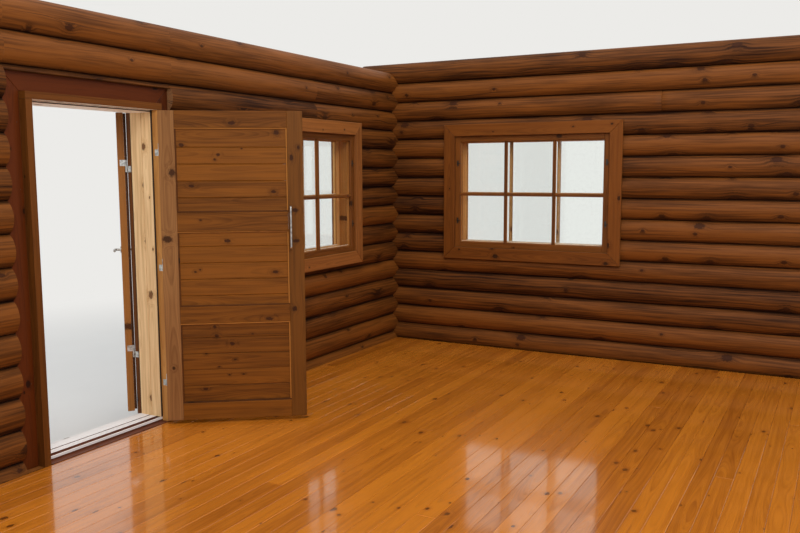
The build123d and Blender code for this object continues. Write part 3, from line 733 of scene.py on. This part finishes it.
def lay_logs(name, place, first_axis, indices, start, end, openings, last, flat=None, butts=()):
    """The logs of one node, cut round the openings and planed flat behind the door's casing."""
    pieces = Pieces(place)
    for index in indices:
        height = first_axis + index * COURSE
        section = log_section(height, index > 0)
        if height - LOG_RADIUS < 0:
            section = clip(section, 0.0, False)
        seed, tone = rng.uniform(3, 90), rng.random()
        meeting = {at for course, at in butts if course == index}
        free_ends = {start, end} | meeting
        marks = set(free_ends)
        for along, _ in openings + ([flat] if flat else []):
            marks.update(v for v in along if start < v < end)
        marks = sorted(marks)
        for low, high in zip(marks, marks[1:]):
            if low in meeting:
                seed, tone = rng.uniform(3, 90), rng.random()
            middle = (low + high) / 2
            cuts = [span for along, span in openings if along[0] <= middle <= along[1]]
            parts = [section]
            for bottom, top in cuts:
                if height - LOG_RADIUS < bottom < height + LOG_RADIUS:
                    parts = [clip(section, bottom, True)]
                elif height - LOG_RADIUS < top < height + LOG_RADIUS:
                    parts = [clip(section, top, False)]
                elif bottom <= height <= top:
                    parts = []
            if flat and flat[0][0] <= middle <= flat[0][1]:
                parts = [recess(part, CASING_BACK - FIT, flat[1]) for part in parts]
            for part in parts:
                log_run(pieces, part, height, low, high, seed, tone, index == last,
                        (low in free_ends and not cuts, high in free_ends and not cuts))
    pieces.finish(name, [LOG, LOG_END], "logs")


def frame_span(start, end):
    return (start - FRAME_BOARD - FIT, end + FRAME_BOARD + FIT)


door_cut = frame_span(*DOORWAY)
two_light_cut = frame_span(TWO_LIGHT[0], sum(TWO_LIGHT))
three_light_cut = frame_span(THREE_LIGHT[0], sum(THREE_LIGHT))
door_span = (door_cut, (THRESHOLD_BOTTOM, DOORWAY_TOP + FRAME_BOARD + SETTLING_GAP))
two_light_span = (two_light_cut, WINDOW_HEIGHTS)
three_light_span = (three_light_cut, WINDOW_HEIGHTS)
DOOR_AXIS, WINDOW_AXIS = COURSE / 2, 0.0  # height of each wall's first log
CASING_BACK, CASING_FRONT = (corner.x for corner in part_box("door_inner_casing"))
DOOR_CASING_WIDTH, OUTER_CASING_WIDTH, WINDOW_CASING_WIDTH = 0.105, 0.085, 0.110
casing_reach = DOOR_CASING_WIDTH + FIT
door_flat = ((door_cut[0] - casing_reach, door_cut[1] + casing_reach),
             (FLOOR, DOORWAY_TOP + FRAME_BOARD + FIT + casing_reach))
# Where two logs meet end to end: the course, and the place along the wall
DOOR_WALL_BUTTS = ((13, 1.465), (14, 1.465))
WINDOW_WALL_BUTTS = ((14, 2.615),)

for name, indices, start, end in (
    ("door_wall_base_logs", range(0, 2), -LOG_OVERHANG, DOOR_WALL_LENGTH),
    ("door_wall_apron_logs", range(2, 7), -LOG_OVERHANG, door_cut[0]),
    ("door_wall_corner_logs", range(7, 13), -LOG_OVERHANG, two_light_cut[0]),
    ("door_wall_pier_logs", range(7, 13), two_light_cut[1], door_cut[0]),
    ("door_wall_end_logs", range(2, 13), door_cut[1], DOOR_WALL_LENGTH),
    ("door_wall_top_logs", range(13, 16), -LOG_OVERHANG, DOOR_WALL_LENGTH),
):
    lay_logs(name, DOOR_LOGS, DOOR_AXIS, indices, start, end, [door_span, two_light_span], 15, door_flat,
             DOOR_WALL_BUTTS)

for name, indices, start, end in (
    ("window_wall_base_logs", range(0, 7), -LOG_OVERHANG, WINDOW_WALL_LENGTH),
    ("window_wall_corner_logs", range(7, 13), -LOG_OVERHANG, three_light_cut[0]),
    ("window_wall_end_logs", range(7, 13), three_light_cut[1], WINDOW_WALL_LENGTH),
    ("window_wall_top_logs", range(13, 17), -LOG_OVERHANG, WINDOW_WALL_LENGTH),
):
    lay_logs(name, WINDOW_LOGS, WINDOW_AXIS, indices, start, end, [three_light_span], 16, None,
             WINDOW_WALL_BUTTS)


# Floor

floor_low, floor_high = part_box("floor_boards")
FLOOR_PITCH, FLOOR_JOINT = 0.100, 0.052  # width of a board, and where one of the joints lies
NARROWEST_BOARD = 0.010
SIDE_GAP, END_GAP = 0.0004, 0.0002  # drawn in at a board's sides and ends
FIRST_BREAK, BREAK_STEP = 0.75, 0.4  # every third line of boards is two boards long, met at changing places
JOIST_PITCH = 0.450
boards = Pieces(Place((1, 0, 0), (0, 1, 0), (0, 0, 1)))
edges = [floor_low.x]
line = FLOOR_JOINT + FLOOR_PITCH * math.ceil((floor_low.x - FLOOR_JOINT) / FLOOR_PITCH)
while line < floor_high.x - NARROWEST_BOARD:
    edges.append(line)
    line += FLOOR_PITCH
edges.append(floor_high.x)
for index, (left, right) in enumerate(zip(edges, edges[1:])):
    breaks = [floor_low.y, floor_high.y]
    if index % 3 == 1:
        breaks.insert(1, floor_low.y + FIRST_BREAK + BREAK_STEP * (index * 7 % 9))
    left, right = left + SIDE_GAP, right - SIDE_GAP
    for near, far in zip(breaks, breaks[1:]):
        near, far = near + END_GAP, far - END_GAP
        corners = [(left, near), (right, near), (right, far), (left, far)]
        boards.slab(corners, (floor_low.z, floor_high.z), "q", (0.0, 0.0014))
boards.finish("floor_boards", [FLOOR_PINE], "floor")

for node, width, bevel in (("floor_joists", 0.045, 0.002), ("floor_bearers", 0.100, 0.003)):
    low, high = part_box(node)
    across, along = (1, 0) if node == "floor_joists" else (0, 1)
    reach = high[across] - low[across] - width
    spaces = math.ceil(reach / JOIST_PITCH) if node == "floor_joists" else 2
    ways = ((1, 0, 0), (0, 1, 0))
    timbers = Pieces(Place(ways[across], (0, 0, 1), ways[along]))
    for i in range(spaces + 1):
        at = low[across] + reach * i / spaces
        timbers.board((at, at + width), (low.z, high.z), (low[along], high[along]), "rq", bevel)
    timbers.finish(node, [TIMBER], "raw_timber")


# Casings

FLAT_FRONT = (0.1123, 0.1323)  # depths of a casing that lies on the frame's edge and the logs
HEAD_SLOT = 1


def casing(place, p, q, width, depths, to_floor):
    """Mitred boards round an opening, with rounded arrises towards the room."""
    pieces = Pieces(place)
    (near, far), (bottom, top) = p, q
    left, right, crown = near - width, far + width, top + width
    foot = bottom if to_floor else bottom - width
    outlines = [
        ("q", [(left, foot), (near, bottom), (near, top), (left, crown)]),
        ("q", [(right, foot), (right, crown), (far, top), (far, bottom)]),
        ("p", [(left, crown), (near, top), (far, top), (right, crown)]),
    ]
    if not to_floor:
        outlines.append(("p", [(left, foot), (right, foot), (far, bottom), (near, bottom)]))
    front = (0.0, 0.003) if depths[1] > 0 else (0.003, 0.0)
    for along, outline in outlines:
        pieces.slab(inset(anticlockwise(outline), FIT), depths, along, front)
    return pieces


def nail_heads(pieces, lines, heights, face):
    """Small round heads, just proud of the board's face."""
    for z in heights:
        for line in lines:
            pieces.disc((line, z), 0.0024, (face, face + 0.0006), 0.0003, HEAD_SLOT, 8)


casing_heights = (FLOOR + FIT, DOORWAY_TOP + FRAME_BOARD + FIT)
outer_front = (-FLAT_FRONT[1], -FLAT_FRONT[0])
inner_door = casing(DOOR_WALL, door_cut, casing_heights, DOOR_CASING_WIDTH, (CASING_BACK, CASING_FRONT), True)
nail_lines = [door_cut[side] + away * by for side, away in ((0, -1), (1, 1)) for by in (0.022, 0.083)]
nail_heads(inner_door, nail_lines, (0.42, 0.78, 1.14, 1.50, 1.86, 2.22), CASING_FRONT)
inner_door.finish("door_inner_casing", [DOOR_CASING_PINE, DARK_STEEL], "casings")
outer_door = casing(DOOR_WALL, door_cut, casing_heights, OUTER_CASING_WIDTH, outer_front, True)
outer_door.finish("door_outer_casing", [CASING_PINE], "casings")


# Windows

MEMBER, BAR = 0.052, 0.024  # widths of a sash's boards and of its bars
BAR_HEIGHT = 1.735
SASH_THICKNESS, PANE_SEAT = 0.040, 0.028  # from a sash's face to its back and to its pane
SASH_FACES = ((0.108, -1), (-0.080, 1))  # where each sash's face is, and the way from it to the other sash
STEP, STEP_DEPTH = 0.005, 0.006
BEAD, BEAD_DEPTHS = 0.008, (0.0046, 0.0106)
# Sash slots: plain wood, painted light on edges, beads and stops, painted daylight at the foot of each light,
# and the outer sash painted lighter as if lit from outside
PLAIN, PAINTED_LIT_EDGE, LIT_FOOT, OUTER_SASH = range(4)
CATCH_BASE, CATCH_KNOB, CATCH_ARM = 0.1105, 0.1185, 0.1225


def bar_profile(middle, face, inward):
    """The section of a sash's bar, chamfered towards its face."""
    seat, chamfer = face + inward * PANE_SEAT, face + inward * 0.010
    low, high = middle - BAR / 2, middle + BAR / 2
    return [(low, seat), (high, seat), (high, chamfer), (middle + 0.007, face), (middle - 0.007, face),
            (low, chamfer)]


def window_frame(name, place, start, end):
    """Boards through the wall, and the stop that stands between the sashes."""
    low, high = SASH_HEIGHTS
    wall = (-FRAME_FACE, FRAME_FACE)
    stop = (-0.040 + FIT, 0.068 - FIT)
    pieces = Pieces(place)
    for edge, side in ((start, -1), (end, 1)):
        body = sorted((edge, edge + side * FRAME_BOARD))
        pieces.board(body, (WINDOW_HEIGHTS[0] + FIT, high + FRAME_BOARD), wall, "q")
        ledge = sorted((edge - side * STOP_REACH, edge))
        # The stop is painted light
        pieces.board(ledge, (low + FIT, high - FIT), stop, "q", 0.001, PAINTED_LIT_EDGE)
    for heights in ((WINDOW_HEIGHTS[0] + FIT, low), (high, high + FRAME_BOARD)):
        pieces.board((start + FIT, end - FIT), heights, wall)
    between = (start + STOP_REACH + FIT, end - STOP_REACH - FIT)
    # The stop's head and foot are painted light too
    for heights in ((low, low + STOP_REACH), (high - STOP_REACH, high)):
        pieces.board(between, heights, stop, "p", 0.001, PAINTED_LIT_EDGE)
    pieces.finish(name + "_frame", [WINDOW_PINE, PAINTED_LIT_SASH_PINE], "window_pine")


def window_sashes(name, place, start, end, lights):
    """Two sashes, each with its bars, a moulded step round each light, and a bead that holds the pane."""
    low, high = SASH_HEIGHTS
    inside, upright = (start + MEMBER, end - MEMBER), (low + MEMBER, high - MEMBER)
    light = (end - start - 2 * MEMBER - (lights - 1) * BAR) / lights
    light_starts = [inside[0] + column * (light + BAR) for column in range(lights)]
    pieces = Pieces(place)
    for face, inward in SASH_FACES:
        # The outer sash is painted lighter as if lit from outside, with painted daylight at the feet of its
        # lights; the inner sash's feet are painted light
        wood_slot, foot_slot = (OUTER_SASH, LIT_FOOT) if face < 0 else (PLAIN, PAINTED_LIT_EDGE)
        depths, seat = (face, face + inward * SASH_THICKNESS), face + inward * PANE_SEAT
        for across in ((start + FIT, inside[0]), (inside[1], end - FIT)):
            pieces.board(across, (low + FIT, high - FIT), depths, "q", 0.0022, wood_slot)
        for heights in ((low + FIT, upright[0]), (upright[1], high - FIT)):
            pieces.board((inside[0] + FIT, inside[1] - FIT), heights, depths, "p", 0.0022, wood_slot)
        pieces.place = Place(place.axes[0], place.axes[2], place.axes[1])
        for edge in light_starts[1:]:
            pieces.slab(bar_profile(edge - BAR / 2, face, inward), upright, "r", slot=wood_slot)
        pieces.place = Place(place.axes[1], place.axes[2], place.axes[0])
        for edge in light_starts:
            pieces.slab(bar_profile(BAR_HEIGHT, face, inward), (edge, edge + light), "r", slot=wood_slot)
        pieces.place = place
        # Beads: painted daylight at the foot, painted light on the other sides
        bead = [seat + inward * depth for depth in BEAD_DEPTHS]
        pieces.boards_inside(inside, upright, BEAD, bead, 0.0015, (LIT_FOOT, PAINTED_LIT_EDGE, PAINTED_LIT_EDGE, PAINTED_LIT_EDGE))
        # Steps: the foot slot above at the foot, painted light on the other sides
        step = (seat, seat - inward * STEP_DEPTH)
        for heights in ((upright[0], BAR_HEIGHT - BAR / 2), (BAR_HEIGHT + BAR / 2, upright[1])):
            for edge in light_starts:
                pieces.boards_inside((edge, edge + light), heights, STEP, step, 0.0012,
                                     (foot_slot, PAINTED_LIT_EDGE, PAINTED_LIT_EDGE, PAINTED_LIT_EDGE))
    pieces.finish(name + "_sashes", [WINDOW_PINE, PAINTED_LIT_SASH_PINE, PAINTED_DAYLIGHT_PINE, PAINTED_DAYLIT_SASH_PINE], "window_pine")


def window(name, place, span, lights, casing_wood):
    """One window: frame, sashes, the boards round it, its drip board and catches, and its glass."""
    start, end = span[0], span[0] + span[1]
    low, high = SASH_HEIGHTS
    window_frame(name, place, start, end)
    window_sashes(name, place, start, end, lights)

    inner = casing(place, (start, end), (low, high), WINDOW_CASING_WIDTH, FLAT_FRONT, False)
    nail_lines = (start - WINDOW_CASING_WIDTH / 2, end + WINDOW_CASING_WIDTH / 2)
    nail_heads(inner, nail_lines, (1.19, 1.55, 1.92, 2.31), FLAT_FRONT[1])
    inner.finish(name + "_inner_casing", [casing_wood, DARK_STEEL], "casings")
    outer = casing(place, (start, end), (low, high), WINDOW_CASING_WIDTH, outer_front, False)
    outer.finish(name + "_outer_casing", [CASING_PINE], "casings")

    drip = Pieces(Place(place.axes[2], place.axes[1], place.axes[0]))
    back, nose = -0.0803, -0.172
    profile = [(back, low + FIT), (back, low + 0.024), (nose + 0.003, low + 0.012), (nose, low + 0.009),
               (nose, low + FIT)]
    drip.slab(profile, (start + FIT, end - FIT), "r")
    drip.finish(name + "_drip", [CASING_PINE], "casings")

    catches = Pieces(place)
    for spot in (start + MEMBER / 2, end - MEMBER / 2):
        for z in (low + 0.25, high - 0.25):
            plate = (spot - 0.008, spot + 0.008), (z - 0.026, z + 0.026), (0.108, CATCH_BASE)
            catches.board(*plate, "q", 0.0008)
            catches.disc((spot, z), 0.006, (CATCH_BASE, CATCH_KNOB), 0.0015, 0, 16)
            catches.board((spot - 0.005, spot + 0.030), (z - 0.005, z + 0.005), (CATCH_KNOB, CATCH_ARM))
    catches.finish(name + "_catches", [DARK_STEEL], "steel", dresses=False)
    repaint(name + "_glass", GLASS)


def repaint(node, material):
    """Gives a carried-over node its material."""
    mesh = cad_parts[node].data
    mesh.materials.clear()
    mesh.materials.append(material)


window("two_light_window", DOOR_WALL, TWO_LIGHT, 2, LIT_CASING_PINE)
window("three_light_window", WINDOW_WALL, THREE_LIGHT, 3, CASING_PINE)


# Door frame

SWING_GAP = 0.007
inner_stop = FRAME_FACE - 0.044 - SWING_GAP
outer_stop = -0.168 + 0.045 + SWING_GAP
threshold_top = FLOOR + 0.030
LINING_JOINT = (-0.0215, -0.0191)
SKIN_DEPTH = 0.001  # thickness of the skins on the frame; those of the rebate and the head are painted daylight, paler than the stained board under them
PLATE_PROUD = 0.0004  # how far the hinge plates stand out of the wood
# Frame slots: bare linings, the rebate face painted daylight, seal strips, the stained frame, and the head
# painted daylight
BARE, REBATE, STRIP, STAINED, LIT_HEAD = range(5)
SEAL_WIDTH, SEAL_GAP = 0.005, 0.0002
jambs = Pieces(DOOR_WALL)
jamb_heights = (THRESHOLD_BOTTOM + FIT, DOORWAY_TOP - FIT)
lining_depths = ((outer_stop, LINING_JOINT[0]), (LINING_JOINT[1], inner_stop))
behind_stop = (FRAME_DEPTHS[0], inner_stop)
behind_front = (inner_stop, FRAME_DEPTHS[1] - SKIN_DEPTH)
front_skin = (FRAME_DEPTHS[1] - SKIN_DEPTH, FRAME_DEPTHS[1])
for edge, side in ((DOORWAY[0], -1), (DOORWAY[1], 1)):
    rebate_face = edge + side * PLATE_PROUD
    board_core = rebate_face + side * SKIN_DEPTH
    whole, core, skin = [sorted(pair) for pair in ((rebate_face, edge + side * FRAME_BOARD),
                                                   (board_core, edge + side * FRAME_BOARD),
                                                   (rebate_face, board_core))]
    jambs.board(whole, jamb_heights, behind_stop, "qr", 0.0012, STAINED)
    jambs.board(core, jamb_heights, behind_front, "qr", 0.0, STAINED)
    # The rebate face's skin is painted daylight
    jambs.board(skin, jamb_heights, behind_front, "qr", 0.0, REBATE)
    jambs.board(whole, jamb_heights, front_skin, "q", 0.0004, STAINED)
    lining = sorted((edge - side * STOP_REACH, edge))
    for depths in lining_depths:
        jambs.board(lining, (threshold_top + FIT, DOORWAY_TOP - FIT), depths, "qr", 0.0018, BARE)
    for depth in (inner_stop + SEAL_GAP, outer_stop - SEAL_GAP - SEAL_WIDTH):
        strip = sorted((edge - side * 0.012, edge - side * 0.001))
        heights = (threshold_top + 0.001, DOORWAY_TOP - 0.001)
        jambs.board(strip, heights, (depth, depth + SEAL_WIDTH), "q", 0.0012, STRIP)
head_along = (DOORWAY[0] - FRAME_BOARD, DOORWAY[1] + FRAME_BOARD)
head_top = DOORWAY_TOP + FRAME_BOARD
jambs.board(head_along, (DOORWAY_TOP, head_top), behind_stop, "pr", 0.0012, STAINED)
jambs.board(head_along, (DOORWAY_TOP + SKIN_DEPTH, head_top), behind_front, "pr", 0.0, STAINED)
# The head's underside skin is painted daylight
jambs.board(DOORWAY, (DOORWAY_TOP, DOORWAY_TOP + SKIN_DEPTH), behind_front, "pr", 0.0, LIT_HEAD)
jambs.board(head_along, (DOORWAY_TOP, head_top), front_skin, "p", 0.0004, STAINED)
between = (DOORWAY[0] + STOP_REACH + FIT, DOORWAY[1] - STOP_REACH - FIT)
# The linings under the head are painted daylight too
for depths in lining_depths:
    jambs.board(between, (DOORWAY_TOP - STOP_REACH, DOORWAY_TOP), depths, "pr", 0.0018, LIT_HEAD)
head_strip = (inner_stop + SEAL_GAP, inner_stop + SEAL_GAP + SEAL_WIDTH)
jambs.board(between, (DOORWAY_TOP - 0.0115, DOORWAY_TOP - 0.0065), head_strip, "p", 0.001, STRIP)
jambs.finish("door_frame", [JAMB_PINE, PAINTED_LIT_REBATE_PINE, SEAL, FRAME_FACE_PINE, PAINTED_DAYLIGHT_PINE], "pale_pine")

sill = Pieces(DOOR_LOGS)
span = (DOORWAY[0] + FIT, DOORWAY[1] - FIT)
WORN, DARK = 0, 1
sill_bottom, sill_front = THRESHOLD_BOTTOM + FIT, FRAME_DEPTHS[1]
step_top = FLOOR + 0.004
slat_bed, slat_foot, cap_foot = threshold_top - 0.010, threshold_top - 0.012, threshold_top - 0.0015
nosing_foot, nosing_back = threshold_top - 0.016, inner_stop - 0.004

# Dark low step under the inner leaf, and the dark body under the slats
low_step = [(inner_stop, sill_bottom), (sill_front, sill_bottom), (sill_front, step_top - 0.002),
            (sill_front - 0.002, step_top), (inner_stop, step_top)]
sill.slab(low_step, span, "r", slot=DARK)
body = [(outer_stop, sill_bottom), (inner_stop, sill_bottom), (inner_stop, nosing_foot),
        (nosing_back, nosing_foot), (nosing_back, slat_bed), (outer_stop, slat_bed)]
sill.slab(body, span, "r", slot=DARK)

# Worn slats with dark grooves between them, and the worn nosing towards the room
for near, far in ((outer_stop + 0.001, -0.048), (-0.036, 0.014)):
    sill.slab([(near, slat_foot), (far, slat_foot), (far, cap_foot), (near, cap_foot)], span, "r", slot=DARK)
    cap = [(near, cap_foot), (far, cap_foot), (far - 0.001, threshold_top), (near + 0.001, threshold_top)]
    sill.slab(cap, span, "r", slot=WORN)
nosing = [(nosing_back, nosing_foot), (inner_stop, nosing_foot), (inner_stop, threshold_top - 0.002),
          (inner_stop - 0.002, threshold_top), (nosing_back, threshold_top)]
sill.slab(nosing, span, "rq", slot=WORN, tone=0.2)
slope = [(FRAME_DEPTHS[0], sill_bottom), (outer_stop - FIT, sill_bottom), (outer_stop - FIT, threshold_top),
         (FRAME_DEPTHS[0], threshold_top - 0.012)]
sill.slab(slope, span, "r", slot=WORN)
sill.finish("door_threshold", [THRESHOLD_PINE, THRESHOLD_DARK], "threshold")


# Door leaves

HINGE_EDGE, STILE, TONGUE = 0.0035, 0.100, 0.009
FREE_EDGE = HINGE_EDGE + DOORWAY[1] - DOORWAY[0] - 2 * SWING_GAP
LEAF_TOP = DOORWAY_TOP - SWING_GAP
INNER_RAILS = ((0.324, 0.436), (0.968, 1.078), (1.568, 1.691), (LEAF_TOP - 0.106, LEAF_TOP))
OUTER_RAILS = ((0.337, 0.447), (LEAF_TOP - 0.110, LEAF_TOP))
HALF_PANEL = 0.011
V_JOINT = ((-HALF_PANEL, 0.0045), (-0.0065, 0.0002), (0.0065, 0.0002), (HALF_PANEL, 0.0045))
FRAME_WOOD, LIT_BEAD, SHADED_BEAD, HINGE_WOOD, FREE_WOOD = range(5)


def leaf(nodes, place, rails, depths, bead, first_boards, pitch, woods, slot, body):
    """Stiles and rails with a bead round each panel, and level boards laid from the top of each panel."""
    frame_node, board_node = nodes
    pieces = Pieces(place)
    left, right = HINGE_EDGE + STILE, FREE_EDGE - STILE
    heights = (rails[0][0], rails[-1][1])
    pieces.board((HINGE_EDGE + PLATE_PROUD, left), heights, depths, "q", 0.002, HINGE_WOOD)
    pieces.board((right, FREE_EDGE), heights, depths, "q", 0.002, FREE_WOOD)
    for rail in rails:
        pieces.board((left + FIT, right - FIT), rail, depths, "p", 0.002, FRAME_WOOD)
    middle = sum(depths) / 2
    faces = ((middle + HALF_PANEL + FIT, middle + HALF_PANEL + bead),
             (middle - HALF_PANEL - bead, middle - HALF_PANEL - FIT))
    for low, high in zip(rails, rails[1:]):
        for face in faces:
            # Painted shade on the foot and hinge side of each bead, painted light on its head and free side
            pieces.boards_inside((left, right), (low[1], high[0]), bead, face, 0.0025,
                                 (SHADED_BEAD, LIT_BEAD, SHADED_BEAD, LIT_BEAD))
    pieces.finish(frame_node, woods, slot, body, spots=True)

    pieces = Pieces(Place(place.axes[2], place.axes[1], place.axes[0], place.origin))
    for low, high, height in zip(rails, rails[1:], first_boards):
        upper, bottom = high[0] + TONGUE, low[1] - TONGUE
        while upper > bottom:
            lower = upper - height
            if lower - bottom < TONGUE:
                lower = bottom
            foot = [(middle + depth, lower + rise) for depth, rise in V_JOINT]
            head = [(middle - depth, upper - rise) for depth, rise in V_JOINT]
            pieces.slab(foot + head, (left - TONGUE, right + TONGUE), "rq")
            upper, height = lower, pitch
    pieces.finish(board_node, [woods[FRAME_WOOD]], slot, body, spots=True)


leaf(("inner_leaf_frame", "inner_leaf_panels"), INNER_LEAF, INNER_RAILS, (0.008, 0.052), 0.009,
     (0.107, 0.107, 0.134), 0.107, [DOOR_PINE, PAINTED_LIT_BEAD_PINE, PAINTED_SHADED_BEAD_PINE, HINGE_STILE_PINE, FREE_STILE_PINE],
     "door_pine", "inner_door")
leaf(("outer_leaf_frame", "outer_leaf_boards"), OUTER_LEAF, OUTER_RAILS, (-0.053, -0.008), 0.008,
     (0.120,), 0.120, [OUTER_PINE] * 5, "outer_door", "outer_door")

# A strip that closes the outer leaf's hinge gap; its dark wood is painted shade for the gap
gap_strip = Pieces(OUTER_LEAF)
gap_strip_heights = (OUTER_RAILS[0][0] + 0.01, LEAF_TOP - 0.004)
gap_strip.board((0.013, 0.033), gap_strip_heights, (-0.008 + FIT, 0.0075), "q", 0.002)
gap_strip.finish("outer_leaf_gap_strip", [GAP_SHADE_PINE], "outer_door", "outer_door", dresses=False)

for node in (
    "inner_leaf_pulls", "inner_leaf_hinges", "outer_leaf_hinges", "outer_leaf_levers", "door_frame_hinges",
):
    repaint(node, STEEL)


# Stage, light and camera


PALE = (236, 235, 232)


def seen_directly(tree):
    """One for rays from the camera and for what metal and glass show."""
    rays = tree.node("ShaderNodeLightPath").outputs
    shown = tree.math("MAXIMUM", rays["Is Camera Ray"], rays["Is Glossy Ray"])
    return tree.math("MAXIMUM", shown, rays["Is Transmission Ray"])


def stage_floor():
    """A matt pale floor that fades into the backdrop away from the cabin."""
    tree = Tree("stage_pale")
    place = tree.object_place()
    grain = tree.noise(place, scale=3.0, detail=2.0)
    tree.set("Base Color", tree.mix(grain, PALE, shade(PALE, 0.985)))
    tree.set("Roughness", 0.9)
    away = tree.vector("LENGTH", tree.vector("SUBTRACT", place, (1.8, -2.3, 0.0)))
    glow = tree.node("ShaderNodeEmission", {"Color": linear(*PALE), "Strength": 1.0})
    tree.surface(tree.blend(tree.times(tree.span(away, 4.5, 9.0), seen_directly(tree)), tree.shader, glow))
    return tree.material


bpy.ops.mesh.primitive_plane_add(size=60, location=(0, 0, -0.0005))
ground = bpy.context.object
ground.name = "stage_floor"
ground.data.materials.append(stage_floor())

bpy.context.scene.world = bpy.data.worlds.new("studio")
sky = Tree("sky", bpy.context.scene.world)
light = sky.node("ShaderNodeBackground", {"Color": (0.92, 0.94, 0.96, 1.0), "Strength": 0.45})
backdrop = sky.node("ShaderNodeBackground", {"Color": linear(*PALE), "Strength": 1.0})
sky.surface(sky.blend(seen_directly(sky), light, backdrop))


def lamp(name, at, towards, size, watts, colour=(1.0, 1.0, 1.0), mirrored=False):
    data = bpy.data.lights.new(name, "AREA")
    data.shape = "RECTANGLE"
    data.size, data.size_y = size
    data.energy = watts
    data.color = colour
    made = bpy.data.objects.new(name, data)
    bpy.context.scene.collection.objects.link(made)
    made.location = at
    made.visible_glossy = mirrored
    made.rotation_euler = (Vector(towards) - Vector(at)).to_track_quat("-Z", "Y").to_euler()


lamp("key", (5.5, -7.5, 6.0), (1.2, -2.0, 1.0), (4.0, 4.0), 290, (1.0, 0.97, 0.93), True)
lamp("top", (2.0, -2.5, 7.0), (2.0, -2.4, 0.0), (5.0, 5.0), 195)
lamp("door_side", (-8.0, -6.5, 5.5), (0.4, -3.4, 1.0), (4.5, 4.5), 230, (0.94, 0.97, 1.0))
lamp("window_side", (1.5, 8.5, 5.5), (1.5, 0.0, 1.2), (5.0, 4.0), 230, (0.94, 0.97, 1.0))

# The photograph's camera
CAMERA_AT = (4.007, -7.265, 1.952)
FOCAL_PIXELS, PHOTO_WIDTH, SENSOR_WIDTH = 826.7, 800, 36.0
yaw, pitch, roll = math.radians(28.33), math.radians(6.594), math.radians(0.197)
ahead = Vector((-math.sin(yaw) * math.cos(pitch), math.cos(yaw) * math.cos(pitch), -math.sin(pitch)))
level = Vector((math.cos(yaw), math.sin(yaw), 0.0))
down = ahead.cross(level)
image_right = math.cos(roll) * level + math.sin(roll) * down
image_down = -math.sin(roll) * level + math.cos(roll) * down
turned = Matrix((image_right, -image_down, -ahead)).transposed()
data = bpy.data.cameras.new("photo_view")
data.sensor_width = SENSOR_WIDTH
data.lens = FOCAL_PIXELS / PHOTO_WIDTH * SENSOR_WIDTH
camera = bpy.data.objects.new("photo_view", data)
bpy.context.scene.collection.objects.link(camera)
camera.matrix_world = Matrix.Translation(CAMERA_AT) @ turned.to_4x4()
bpy.context.scene.camera = camera
bpy.context.scene.view_settings.view_transform = "Standard"
